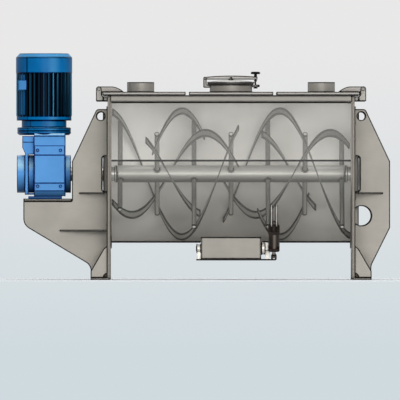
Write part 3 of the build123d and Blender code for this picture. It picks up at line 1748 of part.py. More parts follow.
def motor_rotor():
    """Rotor core on the motor shaft, which reaches down into the gearbox and up to the fan."""
    core_low = motor_body_bottom + (motor_body_height - rotor_length) / 2
    return motor_turned(
        [
            (0, adapter_bottom + motor_shaft_low),
            (motor_shaft_radius, adapter_bottom + motor_shaft_low),
            (motor_shaft_radius, core_low),
            (rotor_radius, core_low),
            (rotor_radius, core_low + rotor_length),
            (motor_shaft_radius, core_low + rotor_length),
            (motor_shaft_radius, motor_body_top + motor_shaft_high),
            (0, motor_body_top + motor_shaft_high),
        ]
    )


def motor_fan():
    """Fan with straight blades on a hub, on the top end of the motor shaft."""
    low = motor_body_top + fan_lift
    high = low + fan_height
    fan = along_z(ring(fan_hub_radius, motor_shaft_radius), low, high)
    fan += along_z(ring(fan_radius - fan_disc_inset, fan_blade_start), low, low + fan_sheet)
    blade = block((fan_blade_start, fan_radius), (-fan_sheet / 2, fan_sheet / 2), (low, high))
    for index in range(fan_blades):
        fan += Rot(0, 0, 360 * index / fan_blades) * blade
    return at_motor(fan)


def fan_cover():
    """Sheet cowl with a bevelled top and ring slots for the air."""
    low = motor_body_top
    top = low + fan_cover_height
    wall = fan_cover_wall
    flat = fan_cover_radius - fan_cover_bevel + fan_cover_flat_step
    cowl = motor_turned(
        [
            (fan_cover_radius - wall, low),
            (fan_cover_radius, low),
            (fan_cover_radius, top - fan_cover_bevel),
            (flat, top),
            (0, top),
            (0, top - wall),
            (flat - fan_cover_flat_step, top - wall),
            (fan_cover_radius - wall, top - fan_cover_bevel - 1),
        ]
    )
    rings = Sketch()
    for index in range(fan_slot_count):
        inside = fan_slot_first + index * fan_slot_pitch - fan_slot_width / 2
        rings += ring(inside + fan_slot_width, inside)
    for angle in (0, 60, 120):
        rings -= Rot(0, 0, angle) * Rectangle(2 * fan_cover_radius, fan_slot_bridge)
    slots = at_motor(along_z(rings, top - 2 * wall, top + 1))
    return cowl - slots - seam(fan_cover_radius + 1, low - 1, top - fan_cover_bevel)


def terminal_box():
    """Cable box at the rear of the motor, with its lid and one cable gland."""
    low = motor_body_bottom + box_above_body
    near = fin_tip_radius + seat_clearance
    middle = (motor_x, low + box_side / 2)
    lid_side = box_side + 2 * box_lid_lip
    body = Pos(*middle) * RectangleRounded(box_side, box_side, box_corner)
    lid = Pos(*middle) * RectangleRounded(lid_side, lid_side, box_lid_corner)
    box = along_y(body, near, near + box_depth)
    box += along_y(lid, near + box_depth, near + box_depth + box_lid_thickness)
    gland = Cylinder(gland_radius, gland_length) + Cylinder(gland_nut_radius, gland_nut_height)
    return box + Pos(motor_x, near + box_depth / 2, low - gland_length / 2) * gland


write("gearbox_housing", gearbox_housing())
write("gearbox_covers", gearbox_covers())
write("gearbox_screws", gearbox_screws())
write("output_sleeve", output_sleeve())
write("motor_adapter", motor_adapter())
write("motor_housing", motor_housing())
write("motor_rotor", motor_rotor())
write("motor_fan", motor_fan())
write("motor_fan_cover", fan_cover())
write("terminal_box", terminal_box())
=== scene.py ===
# %% [markdown]
# # A horizontal ribbon mixer
# This lesson dresses a finished construction model. Every casing, shaft, lid and lever is
# already there at its real size, in metres, standing on the floor with +X along the mixing
# shaft, +Y to the rear and +Z up. What is left to make is how each surface looks, the light,
# and the small things that a construction model leaves out, such as weld beads.

# %% Load the construction model
from math import cos, pi, radians, sin

import bpy
import numpy as np
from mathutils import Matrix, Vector


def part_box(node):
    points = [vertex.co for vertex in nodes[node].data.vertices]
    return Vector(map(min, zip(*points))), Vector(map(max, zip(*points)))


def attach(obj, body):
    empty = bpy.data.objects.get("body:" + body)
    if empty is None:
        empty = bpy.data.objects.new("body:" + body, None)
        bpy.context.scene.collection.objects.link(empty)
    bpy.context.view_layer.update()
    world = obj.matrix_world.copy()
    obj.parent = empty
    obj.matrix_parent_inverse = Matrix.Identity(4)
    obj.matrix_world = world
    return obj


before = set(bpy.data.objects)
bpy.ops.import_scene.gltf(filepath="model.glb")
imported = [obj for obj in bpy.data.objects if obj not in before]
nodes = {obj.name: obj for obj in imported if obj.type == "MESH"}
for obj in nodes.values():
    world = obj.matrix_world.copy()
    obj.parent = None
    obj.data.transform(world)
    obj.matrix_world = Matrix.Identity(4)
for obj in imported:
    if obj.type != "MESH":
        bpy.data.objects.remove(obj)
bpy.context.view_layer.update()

# %% [markdown]
# ## The camera
# The picture that this model follows is drawn without perspective. Blender's orthographic
# camera would draw it so; one with a very long lens, standing far away, comes close to that
# and still behaves as a real camera does when the mixer is looked at from other sides.

# %% Camera
metres_per_pixel = 0.007
picture_pixels = 400
picture_middle = (-0.217, -0.15, 0.5572)  # where the middle of the picture looks, in metres
lens_mm = 1500.0
sensor_mm = 36.0

camera_data = bpy.data.cameras.new("camera")
camera_data.lens = lens_mm
camera_data.sensor_width = sensor_mm
camera_data.clip_end = 1000.0
camera = bpy.data.objects.new("camera", camera_data)
bpy.context.scene.collection.objects.link(camera)
distance = picture_pixels * metres_per_pixel * lens_mm / sensor_mm
camera.location = (picture_middle[0], picture_middle[1] - distance, picture_middle[2])
camera.rotation_euler = (pi / 2, 0, 0)
bpy.context.scene.camera = camera
bpy.context.scene.view_settings.view_transform = "Standard"
print("camera stands", round(distance, 1), "m away")

# %% [markdown]
# ## Mixing colours in nodes
# A colour is easiest to judge as it looks on the screen, from 0 to 255, while Blender
# reckons with light. The helpers below turn one into the other and add the few kinds of
# nodes that all finishes share. Patterns read Object coordinates, so they stay on the steel
# when a lid opens.

# %% Colours as light
def tone(red, green, blue):
    """Screen colour 0-255 as linear light, by the usual two-part screen curve."""
    share = np.array([red, green, blue]) / 255.0
    linear = np.where(share <= 0.04045, share / 12.92, ((share + 0.055) / 1.055) ** 2.4)
    return (*(float(value) for value in linear), 1.0)


print("screen grey 128 is", round(tone(128, 128, 128)[0], 3), "of full light")

# %% Node helpers
def add_node(tree, kind, inputs=None, **settings):
    """A new node with its settings and with sockets given as values or as other outputs."""
    made = tree.nodes.new(kind)
    for key, value in settings.items():
        setattr(made, key, value)
    for key, value in (inputs or {}).items():
        if isinstance(value, bpy.types.NodeSocket):
            tree.links.new(value, made.inputs[key])
        else:
            made.inputs[key].default_value = value
    return made


def new_finish(name):
    """A material, its tree, its shader and its Object coordinates."""
    material = bpy.data.materials.new(name)
    material.use_nodes = True
    tree = material.node_tree
    place = tree.nodes.new("ShaderNodeTexCoord").outputs["Object"]
    return material, tree, tree.nodes["Principled BSDF"], place


def speckle(tree, place, per_metre, stretch=(1, 1, 1), detail=3.0):
    """Noise from 0 to 1, drawn out along an axis whose stretch is small."""
    turned = add_node(tree, "ShaderNodeMapping", {"Vector": place, "Scale": stretch})
    noise = add_node(
        tree,
        "ShaderNodeTexNoise",
        {"Vector": turned.outputs[0], "Scale": per_metre, "Detail": detail, "Roughness": 0.55},
    )
    return noise.outputs["Fac"]


def between(tree, value, low, high, start=0.0, end=1.0):
    """Value from start to end, carried over to low to high."""
    spread = add_node(
        tree,
        "ShaderNodeMapRange",
        {"Value": value, "From Min": start, "From Max": end, "To Min": low, "To Max": high},
    )
    return spread.outputs["Result"]


def mixed(tree, share, first, second):
    """Two colours, mixed by a share."""
    mix = add_node(tree, "ShaderNodeMix", data_type="RGBA")
    for index, value in ((0, share), (6, first), (7, second)):
        if isinstance(value, bpy.types.NodeSocket):
            tree.links.new(value, mix.inputs[index])
        else:
            mix.inputs[index].default_value = value
    return mix.outputs[2]


print("node helpers: add_node, new_finish, speckle, between, mixed")

# %% Edge mask and bump
def edge_share(tree, width, start=0.997, end=0.985):
    """1 along every edge of the piece and 0 further than width from one.

    The bevelled normal leans away from the face's own near an edge; the share rises from 0
    to 1 as the cosine of that lean falls from start to end."""
    bevel = add_node(tree, "ShaderNodeBevel", {"Radius": width}, samples=16)
    face = add_node(tree, "ShaderNodeNewGeometry").outputs["Normal"]
    same = add_node(
        tree, "ShaderNodeVectorMath", {0: bevel.outputs["Normal"], 1: face}, operation="DOT_PRODUCT"
    )
    return between(tree, same.outputs["Value"], 0.0, 1.0, start, end)


def roughen(tree, shader, height, depth, strength=0.6):
    """A bump of that depth in metres."""
    bump = add_node(
        tree, "ShaderNodeBump", {"Height": height, "Distance": depth, "Strength": strength}
    )
    tree.links.new(bump.outputs["Normal"], shader.inputs["Normal"])


print("finish helpers: edge_share, roughen")

# %% [markdown]
# ## Stainless steel
# The frame, trough and lids are ground stainless sheet. Up close it shows fine lines along
# the grinding direction and soft clouds where the grinding overlapped, and every edge gets a
# line of painted dark shade. A photographed texture would need unwrapped faces; two noises
# and an edge mask give the same and need none.

# %% Steel finish
# Tints of the painted shade along edges: near black, a soft near black, and a paler one for the end
# plates.
dark_shade_tint, soft_shade_tint, pale_shade_tint = tone(18, 17, 16), tone(26, 23, 20), tone(92, 88, 82)
narrow_band, wide_band = (0.997, 0.985), (0.9995, 0.996)
across, along, round_about, even = (1, 1, 40), (30, 1, 1), (30, 30, 1), (8, 8, 8)


def ground_steel(
    name, light, dark, rough, grain=across, edge=0.022, metallic=0.4,
    shade_colour=dark_shade_tint, band=narrow_band,
):
    """Ground stainless: clouds and grain lines mix dark and light; lines roughen it as well.

    The painted dark shade along the edges is fully metallic, so that no pale gloss lies over it."""
    material, tree, shader, place = new_finish(name)
    clouds = speckle(tree, place, 4.0)
    lines = speckle(tree, place, 14.0, grain, 2.0)
    colour = mixed(tree, between(tree, clouds, 0, 1, 0.35, 0.65), dark, light)
    colour = mixed(tree, between(tree, lines, 0, 0.35, 0.35, 0.75), colour, dark)
    share = edge_share(tree, edge, *band)
    tree.links.new(mixed(tree, share, colour, shade_colour), shader.inputs["Base Color"])
    tree.links.new(between(tree, share, metallic, 1.0), shader.inputs["Metallic"])
    tree.links.new(between(tree, lines, rough - 0.05, rough + 0.07), shader.inputs["Roughness"])
    roughen(tree, shader, lines, 0.0004, 0.35)
    return material


print("a steel finish has a light and a dark colour, a roughness, a grain and an edge width")

# %% Sheets and plates
plate_steel = ground_steel(
    "plate_steel", tone(155, 150, 141), tone(145, 141, 133), 0.52, across, 0.016
)
end_plate_steel = ground_steel(
    "end_plate_steel", tone(160, 155, 146), tone(150, 146, 138), 0.52, across, 0.03,
    shade_colour=pale_shade_tint,
)
sheet_steel = ground_steel(
    "sheet_steel", tone(162, 158, 150), tone(152, 149, 142), 0.5, along, 0.014
)
rim_steel = ground_steel("rim_steel", tone(140, 136, 129), tone(132, 128, 121), 0.5, along, 0.014)
lid_steel = ground_steel("lid_steel", tone(158, 153, 147), tone(148, 144, 138), 0.5, along, 0.0125)
# Inner steel is paler than the outer sheet: painted light for the inside of the trough, which the
# lids shade. The end bars use it as well.
inner_steel = ground_steel(
    "inner_steel", tone(216, 213, 206), tone(202, 199, 192), 0.5, along, 0.01
)
hatch_steel = ground_steel(
    "hatch_steel", tone(190, 188, 182), tone(160, 158, 152), 0.38, round_about, 0.016, 0.5
)
cheek_steel = ground_steel(
    "cheek_steel", tone(196, 192, 184), tone(176, 172, 164), 0.4, across, 0.011, 0.2
)
yoke_steel = ground_steel(
    "yoke_steel", tone(150, 147, 142), tone(120, 118, 113), 0.4, along, 0.014
)
flange_steel = ground_steel(
    "flange_steel", tone(34, 32, 30), tone(24, 23, 22), 0.5, along, 0.004, 0.8
)
print("sheets and plates:", [m.name for m in bpy.data.materials if "steel" in m.name])

# %% Turned and drawn steel
bearing_steel = ground_steel(
    "bearing_steel", tone(240, 236, 226), tone(222, 217, 206), 0.34, round_about, 0.002, 0.2
)
agitator_steel = ground_steel(
    "agitator_steel", tone(190, 188, 180), tone(170, 168, 160), 0.42, (6, 20, 20), 0.024,
    shade_colour=soft_shade_tint, band=wide_band,
)
machined_steel = ground_steel(
    "machined_steel", tone(200, 198, 192), tone(172, 170, 164), 0.3, (60, 1, 1), 0.008, 0.6
)
fastener_steel = ground_steel(
    "fastener_steel", tone(120, 118, 114), tone(84, 82, 78), 0.4, even, 0.004, 0.6
)
cap_steel = ground_steel(
    "cap_steel", tone(244, 242, 236), tone(226, 223, 215), 0.3, even, 0.002, 0.2
)
weld_steel = ground_steel(
    "weld_steel", tone(44, 40, 36), tone(28, 26, 24), 0.5, (4, 4, 4), 0.002, 0.8
)
print("steel finishes so far:", len([m for m in bpy.data.materials if "steel" in m.name]))

# %% [markdown]
# ## Light and dark on round steel
# Inside the trough light comes in from above and in front only, and every dull round piece
# mirrors dark surroundings at its sides. The picture draws that with strong tones. Layer
# Weight could draw them for the side that the camera sees; a share that follows the direction
# in which the surface faces doesn't ask where the camera stands, so it holds from every side.

# %% Tones by direction and by place
def lean(tree, axis, points):
    """A share that follows how far the surface leans along X, Y or Z, from -1 to 1.

    Points are (lean, share) pairs of a curve with straight runs, in rising order."""
    normal = add_node(tree, "ShaderNodeNewGeometry").outputs["Normal"]
    part = add_node(tree, "ShaderNodeSeparateXYZ", {"Vector": normal}).outputs[axis]
    ramp = tree.nodes.new("ShaderNodeValToRGB")
    tree.links.new(between(tree, part, 0.0, 1.0, -1.0, 1.0), ramp.inputs["Fac"])
    stops = ramp.color_ramp.elements
    while len(stops) < len(points):
        stops.new(0.5)
    for stop, (place, share) in zip(stops, points):
        stop.position = (place + 1) / 2
        stop.color = (share, share, share, 1)
    return ramp.outputs["Color"]


def coordinate(tree, axis):
    """The Object coordinate along X, Y or Z."""
    place = tree.nodes.new("ShaderNodeTexCoord").outputs["Object"]
    return add_node(tree, "ShaderNodeSeparateXYZ", {"Vector": place}).outputs[axis]


def reworked(source, name):
    """A copy of a finish under a new name, with its tree, its shader and the colour it had."""
    material = source.copy()
    material.name = name
    tree = material.node_tree
    shader = tree.nodes["Principled BSDF"]
    return material, tree, shader, shader.inputs["Base Color"].links[0].from_socket


print("tone helpers: lean, coordinate, reworked")

# %% Shaded steel
pale_from, pale_to = 0.4, 0.78


def shaded_tube(name):
    """Agitator steel with painted light where it faces up and painted shade where it faces down."""
    material, tree, shader, colour = reworked(agitator_steel, name)
    low = lean(tree, "Z", [(-1.0, 0.95), (-0.75, 0.88), (-0.2, 0.25), (0.2, 0.0)])
    high = lean(tree, "Z", [(0.2, 0.0), (0.6, 0.6), (0.9, 1.0), (1.0, 1.0)])
    colour = mixed(tree, low, colour, tone(60, 57, 53))
    tree.links.new(mixed(tree, high, colour, tone(246, 245, 238)), shader.inputs["Base Color"])
    return material


def evened(name):
    """Inner steel with a little painted light towards the ends of the trough, where the end plates
    shade it.

    The share rises with the distance in metres from the middle, between the two values above."""
    material, tree, shader, colour = reworked(inner_steel, name)
    from_middle = add_node(
        tree, "ShaderNodeMath", {0: coordinate(tree, "X")}, operation="ABSOLUTE"
    ).outputs[0]
    share = between(tree, from_middle, 0.0, 1.0, pale_from, pale_to)
    tree.links.new(mixed(tree, share, colour, tone(246, 244, 238)), shader.inputs["Base Color"])
    return material


def dark_sided(source, name, points):
    """A copy of a finish with painted shade, by a curve, where the surface leans to the left or
    right.
    """
    material, tree, shader, colour = reworked(source, name)
    share = lean(tree, "X", points)
    tree.links.new(mixed(tree, share, colour, dark_shade_tint), shader.inputs["Base Color"])
    return material


# Painted shade at the left and right sides of the arms and the spouts.
arm_sides = [(-1, 0.95), (-0.9, 0.85), (-0.72, 0), (0.7, 0), (0.88, 0.85), (1, 0.95)]
spout_sides = [(-1, 0.95), (-0.985, 0.8), (-0.95, 0), (0.95, 0), (0.985, 0.8), (1, 0.95)]
arm_steel = dark_sided(agitator_steel, "arm_steel", arm_sides)
spout_steel = dark_sided(sheet_steel, "spout_steel", spout_sides)
tube_steel = shaded_tube("tube_steel")
shell_steel = evened("shell_steel")
print("shaded steels:", [m.name for m in (arm_steel, spout_steel, tube_steel, shell_steel)])

# %% [markdown]
# ## The see-through front wall
# The picture lets us look into the trough: its front wall is drawn as if the steel were
# thin glass, with a dark line where its upper and lower sheets meet. Transmission would bend
# and tint what stands behind it, so the wall keeps its steel grey and gets a low alpha, with
# edges that are nearly opaque.

# %% See-through wall
def see_through_wall(name, clear, edge_width=0.013):
    """Pale sheet whose alpha is the clear share on its faces and nearly 1 along its edges."""
    material, tree, shader, place = new_finish(name)
    lines = speckle(tree, place, 14.0, along, 2.0)
    edge = edge_share(tree, edge_width)
    colour = mixed(tree, lines, tone(196, 194, 187), tone(206, 204, 198))
    tree.links.new(mixed(tree, edge, colour, dark_shade_tint), shader.inputs["Base Color"])
    tree.links.new(between(tree, edge, clear, 0.9), shader.inputs["Alpha"])
    shader.inputs["Metallic"].default_value = 0.4
    shader.inputs["Roughness"].default_value = 0.5
    return material


upper_wall = see_through_wall("upper_wall", 0.11)
lower_wall = see_through_wall("lower_wall", 0.07)
print("see-through finishes:", upper_wall.name, lower_wall.name)

# %% [markdown]
# ## Blue paint
# Motor and gearbox castings carry a thick enamel. Enamel on a casting is never flat: it has
# the faint waves called orange peel. One plain blue would look like plastic. Clouds and waves
# make it a painted casting, an edge mask paints dark shade along its edges, and round ones get
# a painted broad highlight and a painted dark underside, again by direction.

# %% Paint finishes
def enamel(name, light, dark, shade_colour, painted_highlight, rough=0.36, edge=0.014, peel=220.0):
    """Enamel: broad clouds between dark and light, fine waves as bump, painted dark shade along the
    edges.

    Rounded faces that lean up or to the right carry a broad painted highlight in the highlight
    colour, and those that lean down or sideways fall off towards the shade colour as painted shade."""
    material, tree, shader, place = new_finish(name)
    clouds = speckle(tree, place, 6.0)
    waves = speckle(tree, place, peel, detail=2.0)
    colour = mixed(tree, between(tree, clouds, 0, 1, 0.35, 0.65), dark, light)
    # Painted shade on the sides and the underside, painted highlight towards the right and above.
    side = [(-1.0, 0.3), (-0.8, 0.28), (-0.55, 0.0), (0.75, 0.0), (0.9, 0.25), (1.0, 0.3)]
    colour = mixed(tree, lean(tree, "X", side), colour, shade_colour)
    under = [(-1.0, 0.9), (-0.8, 0.7), (-0.3, 0.2), (-0.05, 0.0)]
    colour = mixed(tree, lean(tree, "Z", under), colour, shade_colour)
    right = [(0.1, 0.0), (0.3, 0.35), (0.4, 0.35), (0.6, 0.0)]
    colour = mixed(tree, lean(tree, "X", right), colour, painted_highlight)
    above = [(0.1, 0.0), (0.45, 0.75), (0.7, 0.6), (0.95, 0.3)]
    colour = mixed(tree, lean(tree, "Z", above), colour, painted_highlight)
    share = edge_share(tree, edge)
    tree.links.new(mixed(tree, share, colour, shade_colour), shader.inputs["Base Color"])
    tree.links.new(share, shader.inputs["Metallic"])
    tree.links.new(between(tree, clouds, rough - 0.04, rough + 0.06), shader.inputs["Roughness"])
    shader.inputs["Specular IOR Level"].default_value = 0.08
    shader.inputs["Coat Weight"].default_value = 0.02
    shader.inputs["Coat Roughness"].default_value = 0.2
    roughen(tree, shader, waves, 0.0004, 0.3)
    return material


motor_paint = enamel(
    "motor_blue", tone(6, 122, 190), tone(0, 108, 174), tone(0, 14, 44), tone(96, 178, 232)
)
gearbox_paint = enamel(
    "gearbox_blue", tone(96, 167, 236), tone(88, 159, 228), tone(0, 18, 56), tone(186, 232, 246),
    edge=0.011,
)
screw_paint = enamel(
    "screw_blue", tone(80, 150, 220), tone(70, 140, 206), tone(4, 20, 56), tone(180, 226, 240),
    edge=0.018,
)
lid_paint = enamel(
    "terminal_lid_blue", tone(74, 148, 214), tone(64, 138, 204), tone(0, 20, 60),
    tone(120, 190, 236), edge=0.008,
)
seam_paint = enamel(
    "seam_blue", tone(8, 40, 96), tone(4, 30, 80), tone(0, 14, 44), tone(30, 80, 140), edge=0.002
)
print("paints:", [m.name for m in (motor_paint, gearbox_paint, screw_paint, lid_paint, seam_paint)])

# %% [markdown]
# ## Fins and foot
# Between the motor's fins hardly any light comes back out, and the gearbox foot gets painted
# shade. Painted masks could show both; a darker colour mixed into the same paint by place
# needs no painting, because a radius and a height say where it goes.

# %% Fins and foot
fin_root, fin_tip_radius, fin_foot = 0.176, 0.192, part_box("motor_housing")[0][2] + 0.031
foot_shade_full, foot_shade_end = (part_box("gearbox_housing")[0][2] + height for height in (0.008, 0.06))


def finned_paint(name, fin_tip, pocket_shade):
    """Motor paint that is bright on the fin tips and nearly black, as painted shade, between the
    fins.

    The share follows the distance from the motor's upright axis; a noise on the direction
    from that axis makes some fins darker. Below the fins, on the flange, the paint is plain."""
    material, tree, shader, plain = reworked(motor_paint, name)
    place = tree.nodes.new("ShaderNodeTexCoord").outputs["Object"]
    axis_x = sum(corner[0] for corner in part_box("motor_fan")) / 2
    moved = {"Vector": place, "Location": (-axis_x, 0, 0), "Scale": (1, 1, 0)}
    flat = add_node(tree, "ShaderNodeMapping", moved).outputs[0]
    radius = add_node(tree, "ShaderNodeVectorMath", {0: flat}, operation="LENGTH").outputs["Value"]
    turned = add_node(tree, "ShaderNodeVectorMath", {0: flat}, operation="NORMALIZE").outputs[0]
    bands = between(tree, speckle(tree, turned, 2.6, detail=1.0), 0.1, 1.0, 0.42, 0.6)
    reach = between(tree, radius, 0.0, 1.0, fin_root, fin_tip_radius)
    share = add_node(tree, "ShaderNodeMath", {0: reach, 1: bands}, operation="MULTIPLY").outputs[0]
    colour = mixed(tree, share, pocket_shade, fin_tip)
    above = between(tree, coordinate(tree, "Z"), 0.0, 1.0, fin_foot, fin_foot + 0.001)
    tree.links.new(mixed(tree, above, plain, colour), shader.inputs["Base Color"])
    shader.inputs["Specular IOR Level"].default_value = 0.04
    shader.inputs["Coat Weight"].default_value = 0.0
    return material


def shaded_foot(name, most=0.86):
    """Gearbox paint with painted shade towards the foot, most at the lower of the two heights
    above.
    """
    material, tree, shader, colour = reworked(gearbox_paint, name)
    share = between(tree, coordinate(tree, "Z"), most, 0.0, foot_shade_full, foot_shade_end)
    tree.links.new(mixed(tree, share, colour, tone(10, 44, 84)), shader.inputs["Base Color"])
    return material


fin_paint = finned_paint("fin_blue", tone(44, 112, 150), tone(3, 10, 22))
housing_paint = shaded_foot("gearbox_foot_blue")
print("fins start", round(fin_foot, 3), "m above the floor, foot shade ends at", round(foot_shade_end, 3))

# %% [markdown]
# ## Rubber, plastic, dark cylinder and bronze
# Seals, knob, fan, cylinder and bushes could each have nodes of their own. They differ only
# in colour, shine and grain, so one function makes them all. The cylinder's tube gets one
# paler upright streak as well, a painted highlight.

# %% Small finishes
def small_finish(name, light, dark, rough, metallic=0.0, grain=300.0, depth=0.0002):
    """Soft clouds for the colour, and one fine noise for roughness and bump."""
    material, tree, shader, place = new_finish(name)
    grains = speckle(tree, place, grain)
    clouds = speckle(tree, place, 12.0)
    tree.links.new(mixed(tree, clouds, dark, light), shader.inputs["Base Color"])
    tree.links.new(between(tree, grains, rough - 0.05, rough + 0.08), shader.inputs["Roughness"])
    shader.inputs["Metallic"].default_value = metallic
    roughen(tree, shader, grains, depth, 0.4)
    return material


def highlighted_barrel(name):
    """Cylinder finish with a painted highlight: a paler upright streak just right of the middle."""
    material, tree, shader, colour = reworked(cylinder_dark, name)
    highlight_band = lean(tree, "X", [(-0.3, 0.0), (0.1, 1.0), (0.5, 0.0)])
    tree.links.new(mixed(tree, highlight_band, colour, tone(150, 138, 126)), shader.inputs["Base Color"])
    return material


rubber = small_finish("black_rubber", tone(38, 37, 36), tone(28, 27, 26), 0.7)
knob_plastic = small_finish("knob_black", tone(12, 12, 13), tone(6, 6, 7), 0.3)
knob_plastic.node_tree.nodes["Principled BSDF"].inputs["Specular IOR Level"].default_value = 0.05
fan_plastic = small_finish("fan_plastic", tone(52, 53, 56), tone(40, 41, 44), 0.5)
cylinder_dark = small_finish("cylinder_dark", tone(62, 52, 45), tone(36, 30, 27), 0.35, 0.6)
barrel_finish = highlighted_barrel("barrel_dark")
bronze = small_finish("bush_bronze", tone(176, 134, 78), tone(146, 104, 56), 0.35, 1.0)
print("finishes in all:", len(bpy.data.materials))

# %% [markdown]
# ## Who wears what
# Each piece of the construction model has one material slot. Finishes could be given out
# piece by piece; a list that goes from the finish to its pieces is shorter, and it reads as
# a painter's work list does.

# %% Dress the construction model
work_list = {
    plate_steel: (
        "left_bracket_plates right_bracket_plates bracket_ribs "
        "foot_plates gearbox_shelf discharge_chute"
    ),
    end_plate_steel: "left_end_plate right_end_plate trough_end_flanges",
    rim_steel: "rim_rails lid_cross_rails",
    sheet_steel: "discharge_flap lid_hinge_brackets",
    spout_steel: "left_spout right_spout hatch_neck",
    lid_steel: "left_lid right_lid centre_lid",
    shell_steel: "trough_rear_shell",
    flange_steel: "chute_flange",
    cheek_steel: "cylinder_bracket",
    hatch_steel: "hatch_cover",
    yoke_steel: "hatch_yoke",
    bearing_steel: "left_bearing_housing right_bearing_housing flap_bearings",
    agitator_steel: (
        "outer_ribbons_left outer_ribbons_right inner_ribbons_left inner_ribbons_right"
    ),
    arm_steel: "mixing_arms",
    tube_steel: "shaft_tube",
    machined_steel: "drive_shaft end_stub_shaft output_sleeve piston_rod motor_rotor flap_shaft",
    fastener_steel: "end_plate_bolts hinge_pins flap_lever",
    upper_wall: "trough_front_upper",
    lower_wall: "trough_front_lower",
    motor_paint: "motor_fan_cover motor_adapter terminal_box",
    fin_paint: "motor_housing",
    housing_paint: "gearbox_housing",
    gearbox_paint: "gearbox_covers",
    screw_paint: "gearbox_screws",
    rubber: "rim_gasket hatch_gasket shaft_seals",
    knob_plastic: "clamp_knob",
    fan_plastic: "motor_fan",
    barrel_finish: "cylinder_tube",
    cylinder_dark: "cylinder_caps rod_clevis",
    bronze: "bearing_bushes",
}
dressed = set()
for finish, names in work_list.items():
    for name in names.split():
        for slot in nodes[name].material_slots:
            slot.material = finish
        dressed.add(name)
print("dressed", len(dressed), "nodes; bare:", sorted(set(nodes) - dressed))

# %% [markdown]
# ## Small pieces: how they are made
# Weld beads, bolt domes and cover strips are too small for the construction model, yet the
# eye looks for them. Each is a closed skin worked out on a grid: one way runs along the
# piece, the other runs round it. Sweeping a curve with a bevel could make some of them, but
# a grid also takes the ripples of a weld.

# %% A closed skin from a grid
def skin(points, ring):
    """Vertices, quads and end fans of a grid (rows, columns, 3) that wraps across its columns.

    A ring wraps along its rows too; other grids get a middle point and a fan at each end.
    Faces are turned over where the sum of a . (b x c) over their triangles is negative."""
    rows, columns = points.shape[:2]
    index = np.arange(rows * columns).reshape(rows, columns)
    here = index if ring else index[:-1]
    ahead = np.roll(index, -1, axis=0) if ring else index[1:]
    quads = np.stack([here, np.roll(here, -1, axis=1), np.roll(ahead, -1, axis=1), ahead], axis=-1)
    quads = quads.reshape(-1, 4)
    vertices = points.reshape(-1, 3)
    fans = np.zeros((0, 3), int)
    if not ring:
        vertices = np.concatenate([vertices, points[[0, -1]].mean(axis=1)])
        start, end = np.full(columns, rows * columns), np.full(columns, rows * columns + 1)
        fans = np.concatenate(
            [
                np.stack([np.roll(index[0], -1), index[0], start], axis=-1),
                np.stack([index[-1], np.roll(index[-1], -1), end], axis=-1),
            ]
        )
    triangles = np.concatenate([quads[:, :3], quads[:, [0, 2, 3]], fans])
    a, b, c = (vertices[triangles[:, corner]] for corner in range(3))
    if np.einsum("ij,ij->", a, np.cross(b, c)) < 0:
        quads, fans = quads[:, ::-1], fans[:, ::-1]
    return vertices, quads, fans


print("a skin of 3 rows and 4 columns has", len(skin(np.zeros((3, 4, 3)), False)[1]), "quads")

# %% A piece from its grids
def add_piece(name, grids, finish, body, ring=False, crease=35.0):
    """One piece from several grids, smooth except where faces meet at over the crease angle."""
    vertices, faces, count = [], [], 0
    for grid in grids:
        points, quads, fans = skin(grid, ring)
        vertices.append(points)
        faces += (quads + count).tolist() + (fans + count).tolist()
        count += len(points)
    mesh = bpy.data.meshes.new(name)
    mesh.from_pydata(np.concatenate(vertices).tolist(), [], faces)
    mesh.polygons.foreach_set("use_smooth", np.ones(len(faces), bool))
    mesh.set_sharp_from_angle(angle=radians(crease))
    mesh.materials.append(finish)
    piece = bpy.data.objects.new(name, mesh)
    bpy.context.scene.collection.objects.link(piece)
    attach(piece, body)
    print(name, "has", len(faces), "faces in", len(grids), "parts, rides on", body)


# %% Profiles, and how they are carried
def circle_profile(radius, count=8):
    """Points on a circle: radius times cosine and sine."""
    turn = np.linspace(0, 2 * pi, count, endpoint=False)
    return radius * np.stack([np.cos(turn), np.sin(turn)], axis=-1)


def carried(path, across, profile, swell=None, ring=False):
    """A closed profile carried along a path that lies square to the across direction.

    Its first measure lies along tangent x across and its second along across; swell scales
    it from point to point."""
    path, across = np.asarray(path, float), np.asarray(across, float)
    if ring:
        tangent = np.roll(path, -1, axis=0) - np.roll(path, 1, axis=0)
    else:
        tangent = np.gradient(path, axis=0)
    side = np.cross(tangent, across)
    side /= np.linalg.norm(side, axis=1, keepdims=True)
    swell = np.ones(len(path)) if swell is None else swell
    offset = profile[None, :, :1] * side[:, None] + profile[None, :, 1:] * across
    return path[:, None] + swell[:, None, None] * offset


def straight(start, end, count=2):
    """Evenly spaced points on a line: (1 - share) of the start plus share of the end."""
    share = np.linspace(0, 1, count)[:, None]
    return (1 - share) * np.array(start) + share * np.array(end)


print("a circle profile has", len(circle_profile(0.01)), "points")

# %% [markdown]
# ## Welds of the trough
# The rim bars are welded along the top of the trough, and one long seam closes its bottom.
# Both welds are left dark, and in the picture they are the strongest lines of the trough. A
# smooth rod would look like a wire laid there. A bead that swells a little at every step of
# the welding looks like a weld.

# %% A straight bead
def bead(start, end, across, radius, pitch=0.009):
    """A straight weld bead whose radius swells by about an eighth once per pitch."""
    length = np.linalg.norm(np.subtract(end, start))
    count = max(int(length / pitch * 3), 6)
    swell = 1 + 0.12 * np.sin(2 * pi * np.linspace(0, length / pitch, count))
    return carried(straight(start, end, count), across, circle_profile(radius), swell)


print("a bead of 1 m has", len(bead((0, 0, 0), (1, 0, 0), (0, 0, 1), 0.005)), "rows of points")

